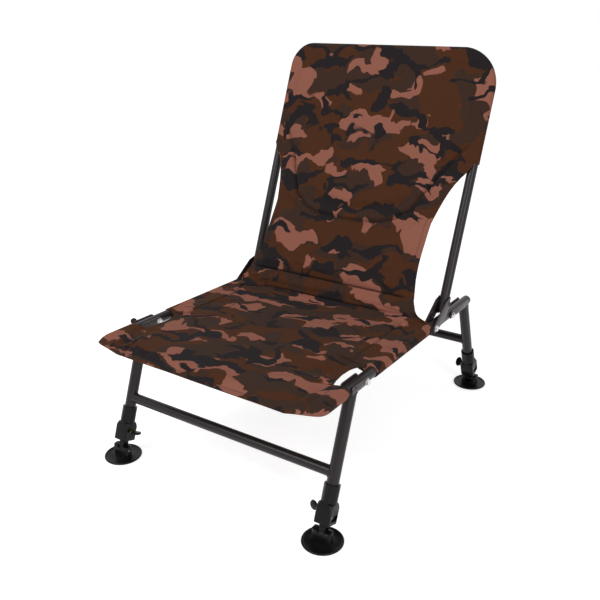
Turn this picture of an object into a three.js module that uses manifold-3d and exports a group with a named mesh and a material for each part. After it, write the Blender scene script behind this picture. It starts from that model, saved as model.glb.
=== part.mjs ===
// Carp fishing chair: a low folding chair with a padded cloth cover on a painted steel tube frame.
// Millimetres, +Z up. The sitter faces -Y, and right means +X.
// The seat rails carry everything. The front legs, the rear legs and the backrest each turn on
// two bolts through the rails, and every leg ends in a foot that slides, clamps and tilts.
import * as THREE from "three";
import { mergeVertices } from "three/addons/utils/BufferGeometryUtils.js";
import Module from "manifold-3d";

const wasm = await Module();
wasm.setup();
const degree = Math.PI / 180;

// Tubes and clearances
const railSpacing = 480; // centre to centre
const tubeOd = 20; // rails, braces and backrest
const legOd = 22;
const extensionOd = 18;
const tubeWall = 1.5;
const seatGap = 0.3; // between pieces that touch
const slideGap = 0.4; // between pieces that move on each other
const overrun = 2; // how far a cutter passes the face it cuts
const roundSides = 16;
const smallSides = 10;

// The side view, measured along the rails from a point over the front feet
const seatHeight = 262.4; // rail centre line over the ground
const seatTilt = 1.9 * degree; // the seat falls towards the back
const railFront = 8;
const railRear = 609;
const frontPivotAt = 123.5;
const backPivotAt = 415;
const rearPivotAt = 502;
const frontLean = 20.5 * degree; // leg tops lean back
const rearLean = 21.5 * degree; // leg tops lean forward
const backLean = 21.8 * degree;
const frontLegOffset = 28.4; // leg centre line ahead of its bolt
const rearLegOffset = 83; // leg centre line behind its bolt
const backTubeOffset = 46; // backrest tube behind its bolt

// Legs and feet, measured up the leg from the tilting pin of the foot
const pinHeight = 16; // over the ground
const legFoot = 50; // lower end of the fixed leg tube
const frontBraceAt = 109.5;
const rearBraceAt = 126;
const extensionLength = 150;
const collarOd = 29;
const collarTop = 90;
const clampFoot = 21;
const clampShoulder = 50;
const clampTop = 57;
const clampWidth = 30;
const clampChamfer = 4.5;
const screwAt = 40; // the clamp screw's centre line

const materials = {
  paint: new THREE.MeshStandardMaterial({ color: "#302c2d", roughness: 0.45, metalness: 0.3 }),
  bracketPaint: new THREE.MeshStandardMaterial({ color: "#544b4d", roughness: 0.5, metalness: 0.3 }),
  plastic: new THREE.MeshStandardMaterial({ color: "#1a1a1b", roughness: 0.5, metalness: 0 }),
  zinc: new THREE.MeshStandardMaterial({ color: "#c8c8ca", roughness: 0.25, metalness: 1 }),
  brass: new THREE.MeshStandardMaterial({ color: "#b3903f", roughness: 0.3, metalness: 1 }),
  cloth: new THREE.MeshStandardMaterial({ color: "#4a2f22", roughness: 0.9, metalness: 0 }),
};

// Solids

// Any closed geometry as a solid that can be cut and joined.
function solid(geometry) {
  const bare = geometry.index ? geometry.toNonIndexed() : geometry.clone();
  for (const name of Object.keys(bare.attributes)) {
    if (name !== "position") bare.deleteAttribute(name);
  }
  const merged = mergeVertices(bare, 1e-4);
  const vertProperties = new Float32Array(merged.attributes.position.array);
  const triVerts = new Uint32Array(merged.index.array);
  return new wasm.Manifold(new wasm.Mesh({ numProp: 3, vertProperties, triVerts }));
}

function geometryOf(shape) {
  const { vertProperties, triVerts } = shape.getMesh();
  const geometry = new THREE.BufferGeometry();
  geometry.setAttribute("position", new THREE.BufferAttribute(new Float32Array(vertProperties), 3));
  geometry.setIndex(new THREE.BufferAttribute(new Uint32Array(triVerts), 1));
  const flat = geometry.toNonIndexed();
  flat.computeVertexNormals();
  return flat;
}

function join(...shapes) {
  return shapes.reduce((whole, next) => whole.add(next));
}

function add(parent, name, shape, material) {
  const mesh = new THREE.Mesh(geometryOf(shape), material);
  mesh.name = name;
  parent.add(mesh);
  return mesh;
}

// Outlines

function polygon(radius, sides) {
  const points = [];
  for (let k = 0; k < sides; k += 1) {
    const turn = ((k + 0.5) / sides) * 2 * Math.PI;
    points.push(new THREE.Vector2(radius * Math.cos(turn), radius * Math.sin(turn)));
  }
  return new THREE.Shape(points);
}

function ring(radius, bore, sides) {
  const shape = polygon(radius, sides);
  shape.holes.push(polygon(bore, sides));
  return shape;
}

function outline(points) {
  return new THREE.Shape(points.map(([a, b]) => new THREE.Vector2(a, b)));
}

function rectangle(halfWide, low, high) {
  return outline([
    [-halfWide, low],
    [halfWide, low],
    [halfWide, high],
    [-halfWide, high],
  ]);
}

// A rectangle about the origin, its corners cut off.
function chamfered(halfWide, halfDeep, cut) {
  return outline([
    [halfWide, cut - halfDeep],
    [halfWide, halfDeep - cut],
    [halfWide - cut, halfDeep],
    [cut - halfWide, halfDeep],
    [-halfWide, halfDeep - cut],
    [-halfWide, cut - halfDeep],
    [cut - halfWide, -halfDeep],
    [halfWide - cut, -halfDeep],
  ]);
}

// An outline is drawn across the axis that it is extruded along: x and z along Y, y and z along X.
const axisX = new THREE.Vector3(1, 0, 0);
const axisY = new THREE.Vector3(0, 1, 0);
const axisZ = new THREE.Vector3(0, 0, 1);
const turnedToX = new THREE.Matrix4().makeBasis(axisY, axisZ, axisX);
const turnedToY = new THREE.Matrix4().makeBasis(axisX, axisZ, axisY.clone().negate());

function extrude(shape, depth) {
  return new THREE.ExtrudeGeometry(shape, { depth, bevelEnabled: false, curveSegments: 6 });
}

function alongX(shape, from, to) {
  return solid(extrude(shape, to - from).applyMatrix4(turnedToX).translate(from, 0, 0));
}

function alongY(shape, from, to) {
  return solid(extrude(shape, to - from).applyMatrix4(turnedToY).translate(0, to, 0));
}

function alongZ(shape, from, to) {
  return solid(extrude(shape, to - from).translate(0, 0, from));
}

// A profile of radius and height turned round Z.
function turned(profile, sides) {
  const points = profile.map(([radius, height]) => new THREE.Vector2(radius, height));
  const geometry = new THREE.LatheGeometry(points, sides);
  return solid(geometry.rotateX(90 * degree).rotateZ(Math.PI / sides));
}

// Rings of equally many points joined into a closed skin, with flat ends.
function loft(rings) {
  const count = rings[0].length;
  const points = rings.flat();
  const faces = [];
  const quad = (a, b, c, d) => faces.push(a, b, c, a, c, d);
  for (let r = 0; r + 1 < rings.length; r += 1) {
    for (let k = 0; k < count; k += 1) {
      const next = (k + 1) % count;
      quad(r * count + k, (r + 1) * count + k, (r + 1) * count + next, r * count + next);
    }
  }
  const last = (rings.length - 1) * count;
  for (let k = 0; k + 1 < count / 2; k += 1) {
    const across = count - 1 - k;
    quad(k, k + 1, across - 1, across);
    quad(last + k, last + across, last + across - 1, last + k + 1);
  }
  const geometry = new THREE.BufferGeometry().setFromPoints(points);
  geometry.setIndex(faces);
  const made = solid(geometry);
  if (made.volume() > 0) return made;
  for (let k = 0; k < faces.length; k += 3) [faces[k], faces[k + 1]] = [faces[k + 1], faces[k]];
  geometry.setIndex(faces);
  return solid(geometry);
}

// The solid of a mesh of another group, seen from this group: for cutting one piece by another.
function seenFrom(group, parent, shape) {
  group.updateWorldMatrix(true, false);
  parent.updateWorldMatrix(true, false);
  const move = group.matrixWorld.clone().invert().multiply(parent.matrixWorld);
  return solid(geometryOf(shape).applyMatrix4(move));
}

// The frame's skeleton in the side view, as y and z

const railSide = railSpacing / 2;
const sides = { left: -1, right: 1 };

function onRail(along, up = 0) {
  return {
    y: along * Math.cos(seatTilt) + up * Math.sin(seatTilt),
    z: seatHeight - along * Math.sin(seatTilt) + up * Math.cos(seatTilt),
  };
}

// The foot's tilting pin, from the bolt that the leg hangs on. Lean is positive where the top leans back.
function footPin(pivot, lean, offset) {
  const y = pivot.y + offset * Math.cos(lean);
  const z = pivot.z - offset * Math.sin(lean);
  const length = (z - pinHeight) / Math.cos(lean);
  return { y: y - length * Math.sin(lean), z: pinHeight, length };
}

function groupAt(parent, place, lean) {
  const group = new THREE.Group();
  group.position.set(0, place.y, place.z);
  group.rotation.x = -lean;
  parent.add(group);
  return group;
}

const frontPin = footPin(onRail(frontPivotAt), frontLean, -frontLegOffset);
const rearPin = footPin(onRail(rearPivotAt), -rearLean, rearLegOffset);

const chair = new THREE.Group();
const seat = groupAt(chair, onRail(0), seatTilt);
const backrest = groupAt(chair, onRail(backPivotAt), backLean);
const frontLegs = groupAt(chair, frontPin, frontLean);
const rearLegs = groupAt(chair, rearPin, -rearLean);

// Bolts: a hexagon head towards +X, a lock nut at the other end

const boltOd = 6;
const boltHeadOd = 11.5;
const boltHeadHeight = 4;
const boltNutHeight = 5;
const channelInner = tubeOd / 2 + slideGap;
const channelWall = 2.2;
const channelOuter = channelInner + channelWall;

function boltHole(y, z) {
  const reach = channelOuter + overrun;
  const hole = alongX(polygon(boltOd / 2 + slideGap, smallSides), -reach, reach);
  return hole.translate([0, y, z]);
}

function bolt() {
  const cheek = channelOuter + seatGap;
  const shank = alongX(polygon(boltOd / 2, smallSides), -cheek - boltNutHeight, cheek + boltHeadHeight);
  const head = alongX(polygon(boltHeadOd / 2, 6), cheek, cheek + boltHeadHeight);
  const nut = alongX(polygon(boltHeadOd / 2, 6), -cheek - boltNutHeight, -cheek);
  return join(shank, head, nut);
}

// Side rails: steel tube, bored for three bolts each, with a moulded cap in each end

const capDome = 5;
const capPlug = 12;

function cap(boreRadius, domeHeight) {
  const rim = tubeOd / 2;
  return turned(
    [
      [0, -capPlug],
      [boreRadius - seatGap, -capPlug],
      [boreRadius - seatGap, seatGap],
      [rim, seatGap],
      [rim, domeHeight * 0.4],
      [rim * 0.7, domeHeight * 0.9],
      [0, domeHeight],
    ],
    roundSides,
  );
}

function sideRail() {
  const tube = alongY(ring(tubeOd / 2, tubeOd / 2 - tubeWall, roundSides), railFront, railRear);
  const holes = [frontPivotAt, backPivotAt, rearPivotAt].map((along) => boltHole(along, 0));
  return tube.subtract(join(...holes));
}

for (const [side, sign] of Object.entries(sides)) {
  const rail = add(seat, `seat_rail_${side}`, sideRail(), materials.paint);
  rail.position.x = sign * railSide;
  const plug = cap(tubeOd / 2 - tubeWall, capDome);
  const rear = add(seat, `rail_rear_cap_${side}`, plug, materials.plastic);
  rear.position.set(sign * railSide, railRear, 0);
  rear.rotation.x = -90 * degree;
  const front = add(seat, `rail_front_cap_${side}`, plug, materials.plastic);
  front.position.set(sign * railSide, railFront, 0);
  front.rotation.x = 90 * degree;
  const bolted = { front: frontPivotAt, backrest: backPivotAt, rear: rearPivotAt };
  for (const [name, along] of Object.entries(bolted)) {
    const pin = add(seat, `${name}_pivot_bolt_${side}`, bolt(), materials.zinc);
    pin.position.set(sign * railSide, along, 0);
  }
}

// Leg brackets: a pressed channel that cradles the rail from below. Its web is the stop that the
// rail rests on, and only the two cheeks reach the bolt, so that the rail can swing between them.

const lugRadius = 9.5;
const webClear = 15; // the web starts this far from the bolt
const bracketTop = 9.5;
const frontBracketReach = 50;
const rearBracketReach = 94;
const noseDrop = 8;

function channelSection() {
  const shape = new THREE.Shape();
  shape.moveTo(channelOuter, bracketTop + overrun);
  shape.absarc(0, 0, channelOuter, 0, -Math.PI, true);
  shape.lineTo(-channelOuter, bracketTop + overrun);
  shape.lineTo(-channelInner, bracketTop + overrun);
  shape.absarc(0, 0, channelInner, -Math.PI, 0, false);
  shape.lineTo(channelInner, bracketTop + overrun);
  return shape;
}

function bracketOutline(reach) {
  const shape = new THREE.Shape();
  shape.absarc(0, 0, lugRadius, -100 * degree, 90 * degree, false);
  shape.lineTo(-reach + noseDrop, bracketTop);
  shape.quadraticCurveTo(-reach, bracketTop, -reach, 0);
  shape.lineTo(-reach + noseDrop, -channelOuter - overrun);
  shape.lineTo(-webClear - noseDrop, -channelOuter - overrun);
  return shape;
}

// A leg bracket with its bolt at the origin and its channel towards -Y for the front leg.
function legBracket(reach, direction) {
  const long = reach + lugRadius + overrun;
  const channel = alongY(channelSection(), -long, long);
  const side = alongX(bracketOutline(reach), -channelOuter - overrun, channelOuter + overrun);
  const swing = alongX(rectangle(long, -long, long), -channelInner, channelInner);
  const bracket = channel.intersect(side).subtract(swing.translate([0, long - webClear, 0]));
  const bored = bracket.subtract(boltHole(0, 0));
  return direction < 0 ? bored : bored.rotate([0, 0, 180]);
}

// The lock of the front frame: a pin with a ball knob in the left bracket's outer cheek. The right
// bracket has the same hole, left empty.

const lockAt = -40;
const lockUp = 6;
const lockPinOd = 4;
const lockBallOd = 13;
const lockBallAt = channelOuter + seatGap + lockBallOd / 2;

function lockHole(sign) {
  const out = sign * (channelOuter + overrun);
  const hole = alongX(polygon(lockPinOd / 2 + slideGap, smallSides), Math.min(0, out), Math.max(0, out));
  return hole.translate([0, lockAt, lockUp]);
}

function lockKnob() {
  const pin = alongX(polygon(lockPinOd / 2, smallSides), channelInner + seatGap, lockBallAt);
  const ball = new THREE.SphereGeometry(lockBallOd / 2, 12, 8);
  return pin.add(solid(ball.translate(lockBallAt, 0, 0)));
}

const frontSaddle = new THREE.Group();
const rearSaddle = new THREE.Group();
frontSaddle.position.y = frontPivotAt;
rearSaddle.position.y = rearPivotAt;
seat.add(frontSaddle, rearSaddle);

for (const [side, sign] of Object.entries(sides)) {
  const bored = legBracket(frontBracketReach, -1).subtract(lockHole(sign));
  add(frontSaddle, `front_bracket_${side}`, bored, materials.bracketPaint).position.x = sign * railSide;
  const rear = legBracket(rearBracketReach, 1);
  add(rearSaddle, `rear_bracket_${side}`, rear, materials.bracketPaint).position.x = sign * railSide;
}
const knob = add(frontSaddle, "lock_knob", lockKnob(), materials.plastic);
knob.position.set(-railSide, lockAt, lockUp);
knob.rotation.z = Math.PI;

// Legs and braces: each leg tube is coped to the underside of its bracket, each brace to the legs

function legTube(group, length) {
  const tube = alongZ(ring(legOd / 2, legOd / 2 - tubeWall, roundSides), legFoot, length);
  const saddle = alongY(polygon(channelOuter + seatGap, roundSides), railFront, railRear);
  return tube.subtract(seenFrom(group, seat, saddle));
}

function brace(at) {
  const tube = alongX(ring(tubeOd / 2, tubeOd / 2 - tubeWall, roundSides), -railSide, railSide);
  const leg = alongZ(polygon(legOd / 2 + seatGap, roundSides), -tubeOd, tubeOd);
  const trimmed = tube.subtract(leg.translate([railSide, 0, 0]));
  return trimmed.subtract(leg.translate([-railSide, 0, 0])).translate([0, 0, at]);
}

// How far up a leg its centre line meets the rail's.
function legLength(pin, lean, offset) {
  return pin.length - Math.abs(offset) * Math.tan(Math.abs(lean) - seatTilt * Math.sign(lean));
}

function legFrame(group, name, length, braceAt) {
  for (const [side, sign] of Object.entries(sides)) {
    const leg = add(group, `${name}_leg_${side}`, legTube(group, length), materials.paint);
    leg.position.x = sign * railSide;
  }
  add(group, `${name}_brace`, brace(braceAt), materials.paint);
}

legFrame(frontLegs, "front", legLength(frontPin, frontLean, frontLegOffset), frontBraceAt);
legFrame(rearLegs, "rear", legLength(rearPin, -rearLean, rearLegOffset), rearBraceAt);

// Clamp collar: moulded round the foot of the leg tube, with a bore for the sliding extension,
// a groove across its outer face that shows a brass insert, and a thumb screw on its inner side

const grooveHeight = 9;
const grooveDepth = 4;
const grooveAt = 32;
const insertOd = 6;
const insertDepth = 2.5;
const insertAcross = -6;
const screwOd = 6;
const hubOd = 9;
const hubFoot = 15.6; // the screw's hub starts here, from the leg's centre line
const hubLength = 4;
const tabFoot = 17;
const tabLength = 13;
const tabHeight = 13;
const tabRise = 4; // the tab stands this far above the screw's centre
const tabThickness = 5;

function clampBlock() {
  const half = clampWidth / 2;
  const plan = chamfered(half, half, clampChamfer);
  const block = alongZ(plan, clampFoot, clampTop);
  const roof = new THREE.CylinderGeometry(collarOd / Math.SQRT2, clampWidth / Math.SQRT2, clampTop - clampShoulder, 4);
  roof.rotateX(90 * degree).rotateZ(45 * degree).translate(0, 0, (clampTop + clampShoulder) / 2);
  return block.intersect(alongZ(rectangle(half, -half, half), clampFoot, clampShoulder).add(solid(roof)));
}

function clampInsert(gap) {
  const face = clampWidth / 2 - grooveDepth;
  const shape = polygon(insertOd / 2 + gap, smallSides);
  return alongX(shape, face - insertDepth - gap, face + gap).translate([0, insertAcross, grooveAt]);
}

function clampCollar() {
  const half = clampWidth / 2;
  const sleeve = alongZ(polygon(collarOd / 2, roundSides), clampShoulder, collarTop);
  const legBore = alongZ(polygon(legOd / 2 + seatGap, roundSides), legFoot - seatGap, collarTop + overrun);
  const slideBore = alongZ(polygon(extensionOd / 2 + slideGap, roundSides), 0, legFoot);
  const groove = alongX(rectangle(half + overrun, -grooveHeight / 2, grooveHeight / 2), 0, grooveDepth + overrun);
  const screwHole = alongX(polygon(screwOd / 2 + slideGap, smallSides), -half - overrun, 0);
  return join(clampBlock(), sleeve)
    .subtract(join(legBore, slideBore))
    .subtract(groove.translate([half - grooveDepth, 0, grooveAt]))
    .subtract(clampInsert(seatGap))
    .subtract(screwHole.translate([0, 0, screwAt]));
}

function clampScrew() {
  const tip = extensionOd / 2 + slideGap + seatGap;
  const thread = alongX(polygon(screwOd / 2, smallSides), -tabFoot - tabLength / 2, -tip);
  const hub = alongX(polygon(hubOd / 2, smallSides), -hubFoot - hubLength, -hubFoot);
  const tab = new THREE.Shape();
  tab.absellipse(-tabFoot - tabLength / 2, tabRise, tabLength / 2, tabHeight / 2, 0, 2 * Math.PI);
  const flat = extrude(tab, tabThickness).rotateX(90 * degree).translate(0, tabThickness / 2, 0);
  return join(thread, hub, solid(flat));
}

// Foot: the extension tube, a knuckle plug in its lower end, and a moulded disc that tilts on a pin

const tongueWidth = 12;
const tongueRadius = 8;
const neckHalf = 7;
const flangeAt = 15;
const flangeThickness = 2;
const plugLength = 18;
const discOd = 75;
const discThickness = 3;
const discRim = 5;
const discRimWidth = 2.5;
const discSides = 24;
const bossWidth = 37;
const bossDepth = 21;
const bossChamfer = 5.5;
const bossTop = 9.5; // above the pin
const slotFront = 9.1; // the slot ends here ahead of the pin, and is open behind and above
const tiltPinOd = 4;
const extensionFoot = flangeAt + flangeThickness + seatGap;

function extensionTube() {
  const tube = ring(extensionOd / 2, extensionOd / 2 - tubeWall, roundSides);
  return alongZ(tube, extensionFoot, extensionFoot + extensionLength);
}

function knucklePlug() {
  const eye = new THREE.Shape();
  eye.absarc(0, 0, tongueRadius, -Math.PI, 0, false);
  eye.lineTo(neckHalf, tongueRadius / 2);
  eye.lineTo(neckHalf, flangeAt + flangeThickness / 2);
  eye.lineTo(-neckHalf, flangeAt + flangeThickness / 2);
  eye.lineTo(-neckHalf, tongueRadius / 2);
  const tongue = alongX(eye, -tongueWidth / 2, tongueWidth / 2);
  const flange = alongZ(polygon(extensionOd / 2, roundSides), flangeAt, flangeAt + flangeThickness);
  const bore = extensionOd / 2 - tubeWall - seatGap;
  const plug = alongZ(polygon(bore, roundSides), flangeAt, extensionFoot + plugLength);
  const hole = alongX(polygon(tiltPinOd / 2 + slideGap, smallSides), -tongueWidth, tongueWidth);
  return join(tongue, flange, plug).subtract(hole);
}

function footDisc() {
  const rim = discOd / 2;
  const disc = turned(
    [
      [0, 0],
      [rim - discRimWidth / 2, 0],
      [rim, discRimWidth / 2],
      [rim, discRim - discRimWidth / 2],
      [rim - discRimWidth / 2, discRim],
      [rim - discRimWidth * 2, discThickness],
      [0, discThickness],
    ],
    discSides,
  ).translate([0, 0, -pinHeight]);
  const boss = alongZ(chamfered(bossWidth / 2, bossDepth / 2, bossChamfer), discThickness / 2 - pinHeight, bossTop);
  const slotHalf = tongueWidth / 2 + slideGap;
  const slot = alongX(rectangle(bossDepth, -tongueRadius - slideGap * 2, bossTop + overrun), -slotHalf, slotHalf);
  const hole = alongX(polygon(tiltPinOd / 2 + seatGap, smallSides), -bossWidth, bossWidth);
  return disc.add(boss).subtract(slot.translate([0, bossDepth - slotFront, 0])).subtract(hole);
}

function tiltPin() {
  const half = bossWidth / 2 - seatGap;
  return alongX(polygon(tiltPinOd / 2, smallSides), -half, half);
}

function foot(group, pin, name, sign) {
  const leg = new THREE.Group();
  leg.position.x = sign * railSide;
  if (sign < 0) leg.rotation.z = Math.PI;
  group.add(leg);
  add(leg, `${name}_clamp_collar`, clampCollar(), materials.plastic);
  add(leg, `${name}_clamp_insert`, clampInsert(0), materials.brass);
  const screw = add(leg, `${name}_clamp_screw`, clampScrew(), materials.plastic);
  screw.position.z = screwAt;
  add(leg, `${name}_extension`, extensionTube(), materials.paint);
  add(leg, `${name}_knuckle`, knucklePlug(), materials.plastic);
  // The slot of each foot is open towards the middle of the chair, where its leg leans.
  const ground = groupAt(chair, pin, 0);
  ground.position.x = sign * railSide;
  if (group === rearLegs) ground.rotation.z = Math.PI;
  add(ground, `${name}_foot`, footDisc(), materials.plastic);
  add(ground, `${name}_tilt_pin`, tiltPin(), materials.zinc);
}

for (const [side, sign] of Object.entries(sides)) {
  foot(frontLegs, frontPin, `front_${side}`, sign);
  foot(rearLegs, rearPin, `rear_${side}`, sign);
}

// Backrest frame: one tube bent to a U, each end riveted into a bracket that turns on a rail bolt

const tubeStart = 33; // lower tube ends, above the bolts
const backTop = 570; // centre of the top cross tube above the bolts
const bendRadius = 70;
const bendSteps = 5;
const rivetOd = 5;
const rivetHeadOd = 9;
const rivetHead = 1.8;
const rivetAt = 53;
// The bracket's edge as offsets behind and above its bolt
const bladeEdge = [
  [58.6, 68],
  [44, 66],
  [29, 56],
  [12, 32],
];
const bladeRoot = [43, 22];

// Points round the U from the left end to the right end, with the direction of the tube at each.
function backrestPath(start) {
  const corner = railSide - bendRadius;
  const places = [{ x: -railSide, z: start, turn: 0 }];
  for (const [centre, first] of [
    [-corner, 0],
    [corner, 90],
  ]) {
    for (let step = 0; step <= bendSteps; step += 1) {
      const turn = (first + (90 * step) / bendSteps) * degree;
      const x = centre - bendRadius * Math.cos(turn);
      places.push({ x, z: backTop - bendRadius + bendRadius * Math.sin(turn), turn });
    }
  }
  places.push({ x: railSide, z: start, turn: Math.PI });
  return places;
}

function bentRod(radius, start) {
  const rings = backrestPath(start).map(({ x, z, turn }) => {
    const points = [];
    for (let k = 0; k < roundSides; k += 1) {
      const round = ((k + 0.5) / roundSides) * 2 * Math.PI;
      const out = radius * Math.cos(round);
      const y = backTubeOffset + radius * Math.sin(round);
      points.push(new THREE.Vector3(x - out * Math.cos(turn), y, z + out * Math.sin(turn)));
    }
    return points;
  });
  return loft(rings);
}

function rivetHole(at) {
  const reach = channelOuter + overrun;
  const hole = alongX(polygon(rivetOd / 2 + seatGap, smallSides), -reach, reach);
  return hole.translate([0, backTubeOffset, at]);
}

function backrestTube() {
  const tube = bentRod(tubeOd / 2, tubeStart).subtract(bentRod(tubeOd / 2 - tubeWall, tubeStart - overrun));
  const hole = rivetHole(rivetAt);
  return tube.subtract(hole.translate([railSide, 0, 0])).subtract(hole.translate([-railSide, 0, 0]));
}

// A pressed channel whose round back cradles the tube. Its cheeks reach forward to the bolt, and
// the foot of its back comes down on the rail when the chair is open.
function backrestBracket() {
  const relative = backLean - seatTilt;
  const railTop = (back) => (tubeOd / 2 + seatGap) / Math.cos(relative) + back * Math.tan(relative);
  const rear = backTubeOffset + channelOuter;
  const side = new THREE.Shape();
  side.absarc(0, 0, lugRadius, 170 * degree, 310 * degree, false);
  side.lineTo(...bladeRoot);
  side.lineTo(backTubeOffset, railTop(backTubeOffset));
  side.lineTo(rear, railTop(rear));
  for (const point of bladeEdge) side.lineTo(...point);
  const plan = new THREE.Shape();
  plan.moveTo(channelOuter, -lugRadius - overrun);
  plan.absarc(0, backTubeOffset, channelOuter, 0, Math.PI, false);
  plan.lineTo(-channelOuter, -lugRadius - overrun);
  plan.lineTo(-channelInner, -lugRadius - overrun);
  plan.absarc(0, backTubeOffset, channelInner, Math.PI, 0, true);
  plan.lineTo(channelInner, -lugRadius - overrun);
  const channel = alongZ(plan, -lugRadius - overrun, bladeEdge[0][1] + overrun);
  const blade = channel.intersect(alongX(side, -channelOuter - overrun, channelOuter + overrun));
  return blade.subtract(boltHole(0, 0)).subtract(rivetHole(rivetAt));
}

function rivet() {
  const cheek = channelOuter + seatGap;
  const shank = alongX(polygon(rivetOd / 2, smallSides), -cheek - rivetHead, cheek + rivetHead);
  const head = alongX(polygon(rivetHeadOd / 2, smallSides), cheek, cheek + rivetHead);
  return join(shank, head, head.translate([-2 * cheek - rivetHead, 0, 0]));
}

add(backrest, "backrest_tube", backrestTube(), materials.paint);
for (const [side, sign] of Object.entries(sides)) {
  const x = sign * railSide;
  add(backrest, `backrest_bracket_${side}`, backrestBracket(), materials.bracketPaint).position.x = x;
  const pin = add(backrest, `backrest_rivet_${side}`, rivet(), materials.bracketPaint);
  pin.position.set(x, backTubeOffset, rivetAt);
}

// The cloth cover is drawn along one path in the side view: along the rails to the break of the
// seat, then straight up as a sling to the hood, which is pulled over the top of the backrest tube.

const coverWall = 1.6;
const sleeveRadius = tubeOd / 2 + slideGap + coverWall;
const hemThickness = 4;
const seatLevel = 5; // middle of the hem over the path
const hoodLevel = 3;
const padStep = 1; // the pad stands this far over its hem
const seatFrontEdge = -52;
const pocketEnd = 67;
const sleeveStart = 164.5;
const sleeveRear = backPivotAt - lugRadius - 2;
const breakAhead = 37; // the break of the seat ahead of the backrest bolts
const seatBreak = backPivotAt - breakAhead;
const foldLength = 34; // half length of the rounded break
const lumbarStart = seatBreak - foldLength - 1;
const hoodStart = 336; // above the backrest bolts
const hoodSkirt = 344; // lower edge of the hood's back
const hoodAhead = 5.5; // the path lies ahead of the backrest tubes here
const seatCrown = 3;
const backCrown = 5;
const headCrown = 7;
const seamDepth = 5;
const seamHalf = 9; // half width of a sewn channel

function toChair(group, y, z) {
  group.updateWorldMatrix(true, false);
  return new THREE.Vector3(0, y, z).applyMatrix4(group.matrixWorld);
}

const breakPoint = toChair(seat, seatBreak, 0);
const hoodPoint = toChair(backrest, backTubeOffset - hoodAhead, hoodStart);
const hoodTop = toChair(backrest, backTubeOffset - hoodAhead, backTop);
const slingLength = breakPoint.distanceTo(hoodPoint);
const hoodLength = hoodPoint.distanceTo(hoodTop);
const seatWay = toChair(seat, seatBreak, 0).sub(toChair(seat, 0, 0)).normalize();
const slingWay = hoodPoint.clone().sub(breakPoint).normalize();
const hoodWay = hoodTop.clone().sub(hoodPoint).normalize();

// A rounded break of the path: a parabola between the two straight runs.
function roundedBreak(middle, before, after, distance) {
  const share = (distance + foldLength) / (2 * foldLength);
  const start = middle.clone().addScaledVector(before, -foldLength);
  const end = middle.clone().addScaledVector(after, foldLength);
  const one = start.lerp(middle, share);
  const two = middle.clone().lerp(end, share);
  return { point: one.clone().lerp(two, share), way: two.sub(one).normalize() };
}

// A place on the path, by its distance past the break of the seat.
function onPath(distance) {
  const past = distance - slingLength;
  if (Math.abs(distance) < foldLength) return roundedBreak(breakPoint, seatWay, slingWay, distance);
  if (Math.abs(past) < foldLength) return roundedBreak(hoodPoint, slingWay, hoodWay, past);
  if (distance < 0) return { point: breakPoint.clone().addScaledVector(seatWay, distance), way: seatWay };
  if (past < 0) return { point: breakPoint.clone().addScaledVector(slingWay, distance), way: slingWay };
  return { point: hoodPoint.clone().addScaledVector(hoodWay, past), way: hoodWay };
}

// One row of the cloth as a ring of points. Each column is [x, face, back, distance] from the
// middle outwards, and the row is mirrored to the other side.
function row(columns) {
  const mirrored = columns.slice(1).reverse().map(([x, ...rest]) => [-x, ...rest]);
  const both = [...mirrored, ...columns];
  const at = (x, up, distance) => {
    const { point, way } = onPath(distance);
    const normal = new THREE.Vector3(0, -way.z, way.y);
    return point.clone().addScaledVector(normal, up).setX(x);
  };
  const faces = both.map(([x, face, , distance]) => at(x, face, distance));
  const backs = both.map(([x, , back, distance]) => at(x, back, distance));
  return [...faces, ...backs.reverse()];
}

// Columns across a panel as shares of its half width, the last ones round its hemmed edge
const padShares = [0, 0.3, 0.5, 0.66, 0.8, 0.93];
const hemShares = [0.95, 0.965, 0.985, 1];
const hemHalfShares = [1, 1, 0.9, 0.4];
const sleeveTurns = [150, 105, 60, 15];

function padColumns(half, distance, level, crown, dip) {
  return padShares.map((share) => {
    const sewn = share < padShares.at(-1) ? dip : 0;
    const face = level + hemThickness / 2 + padStep + crown * (1 - share ** 4) - sewn;
    return [share * half, face, level - hemThickness / 2, distance];
  });
}

// A row that ends in a thin hem.
function hemmed(half, distance, level, crown, dip = 0) {
  const hem = hemShares.map((share, k) => {
    const thick = (hemHalfShares[k] * hemThickness) / 2;
    return [share * half, level + thick, level - thick, distance];
  });
  return row([...padColumns(half, distance, level, crown, dip), ...hem]);
}

// A row that ends in a sleeve round each rail.
function sleeved(distance, crown) {
  const pad = padColumns(railSide - sleeveRadius, distance, seatLevel, crown, 0);
  const sleeve = sleeveTurns.map((turn) => {
    const up = sleeveRadius * Math.sin(turn * degree);
    return [railSide + sleeveRadius * Math.cos(turn * degree), up, -up, distance];
  });
  return row([...pad, ...sleeve]);
}

function railSpace(from, to) {
  const bore = alongY(polygon(tubeOd / 2 + slideGap, roundSides), from, to);
  return seenFrom(chair, seat, bore.translate([railSide, 0, 0]).add(bore.translate([-railSide, 0, 0])));
}

// Seat cover: a padded panel with a pocket over each rail's front end, cut back beside the front
// brackets, and a sleeve along each rail behind them

const frontHalf = 184;
const frontCorner = 247;
const pocketTaper = 21;
const cutBackGap = 19; // between the front bracket and the cloth
const cutBackCorner = 7;

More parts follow.
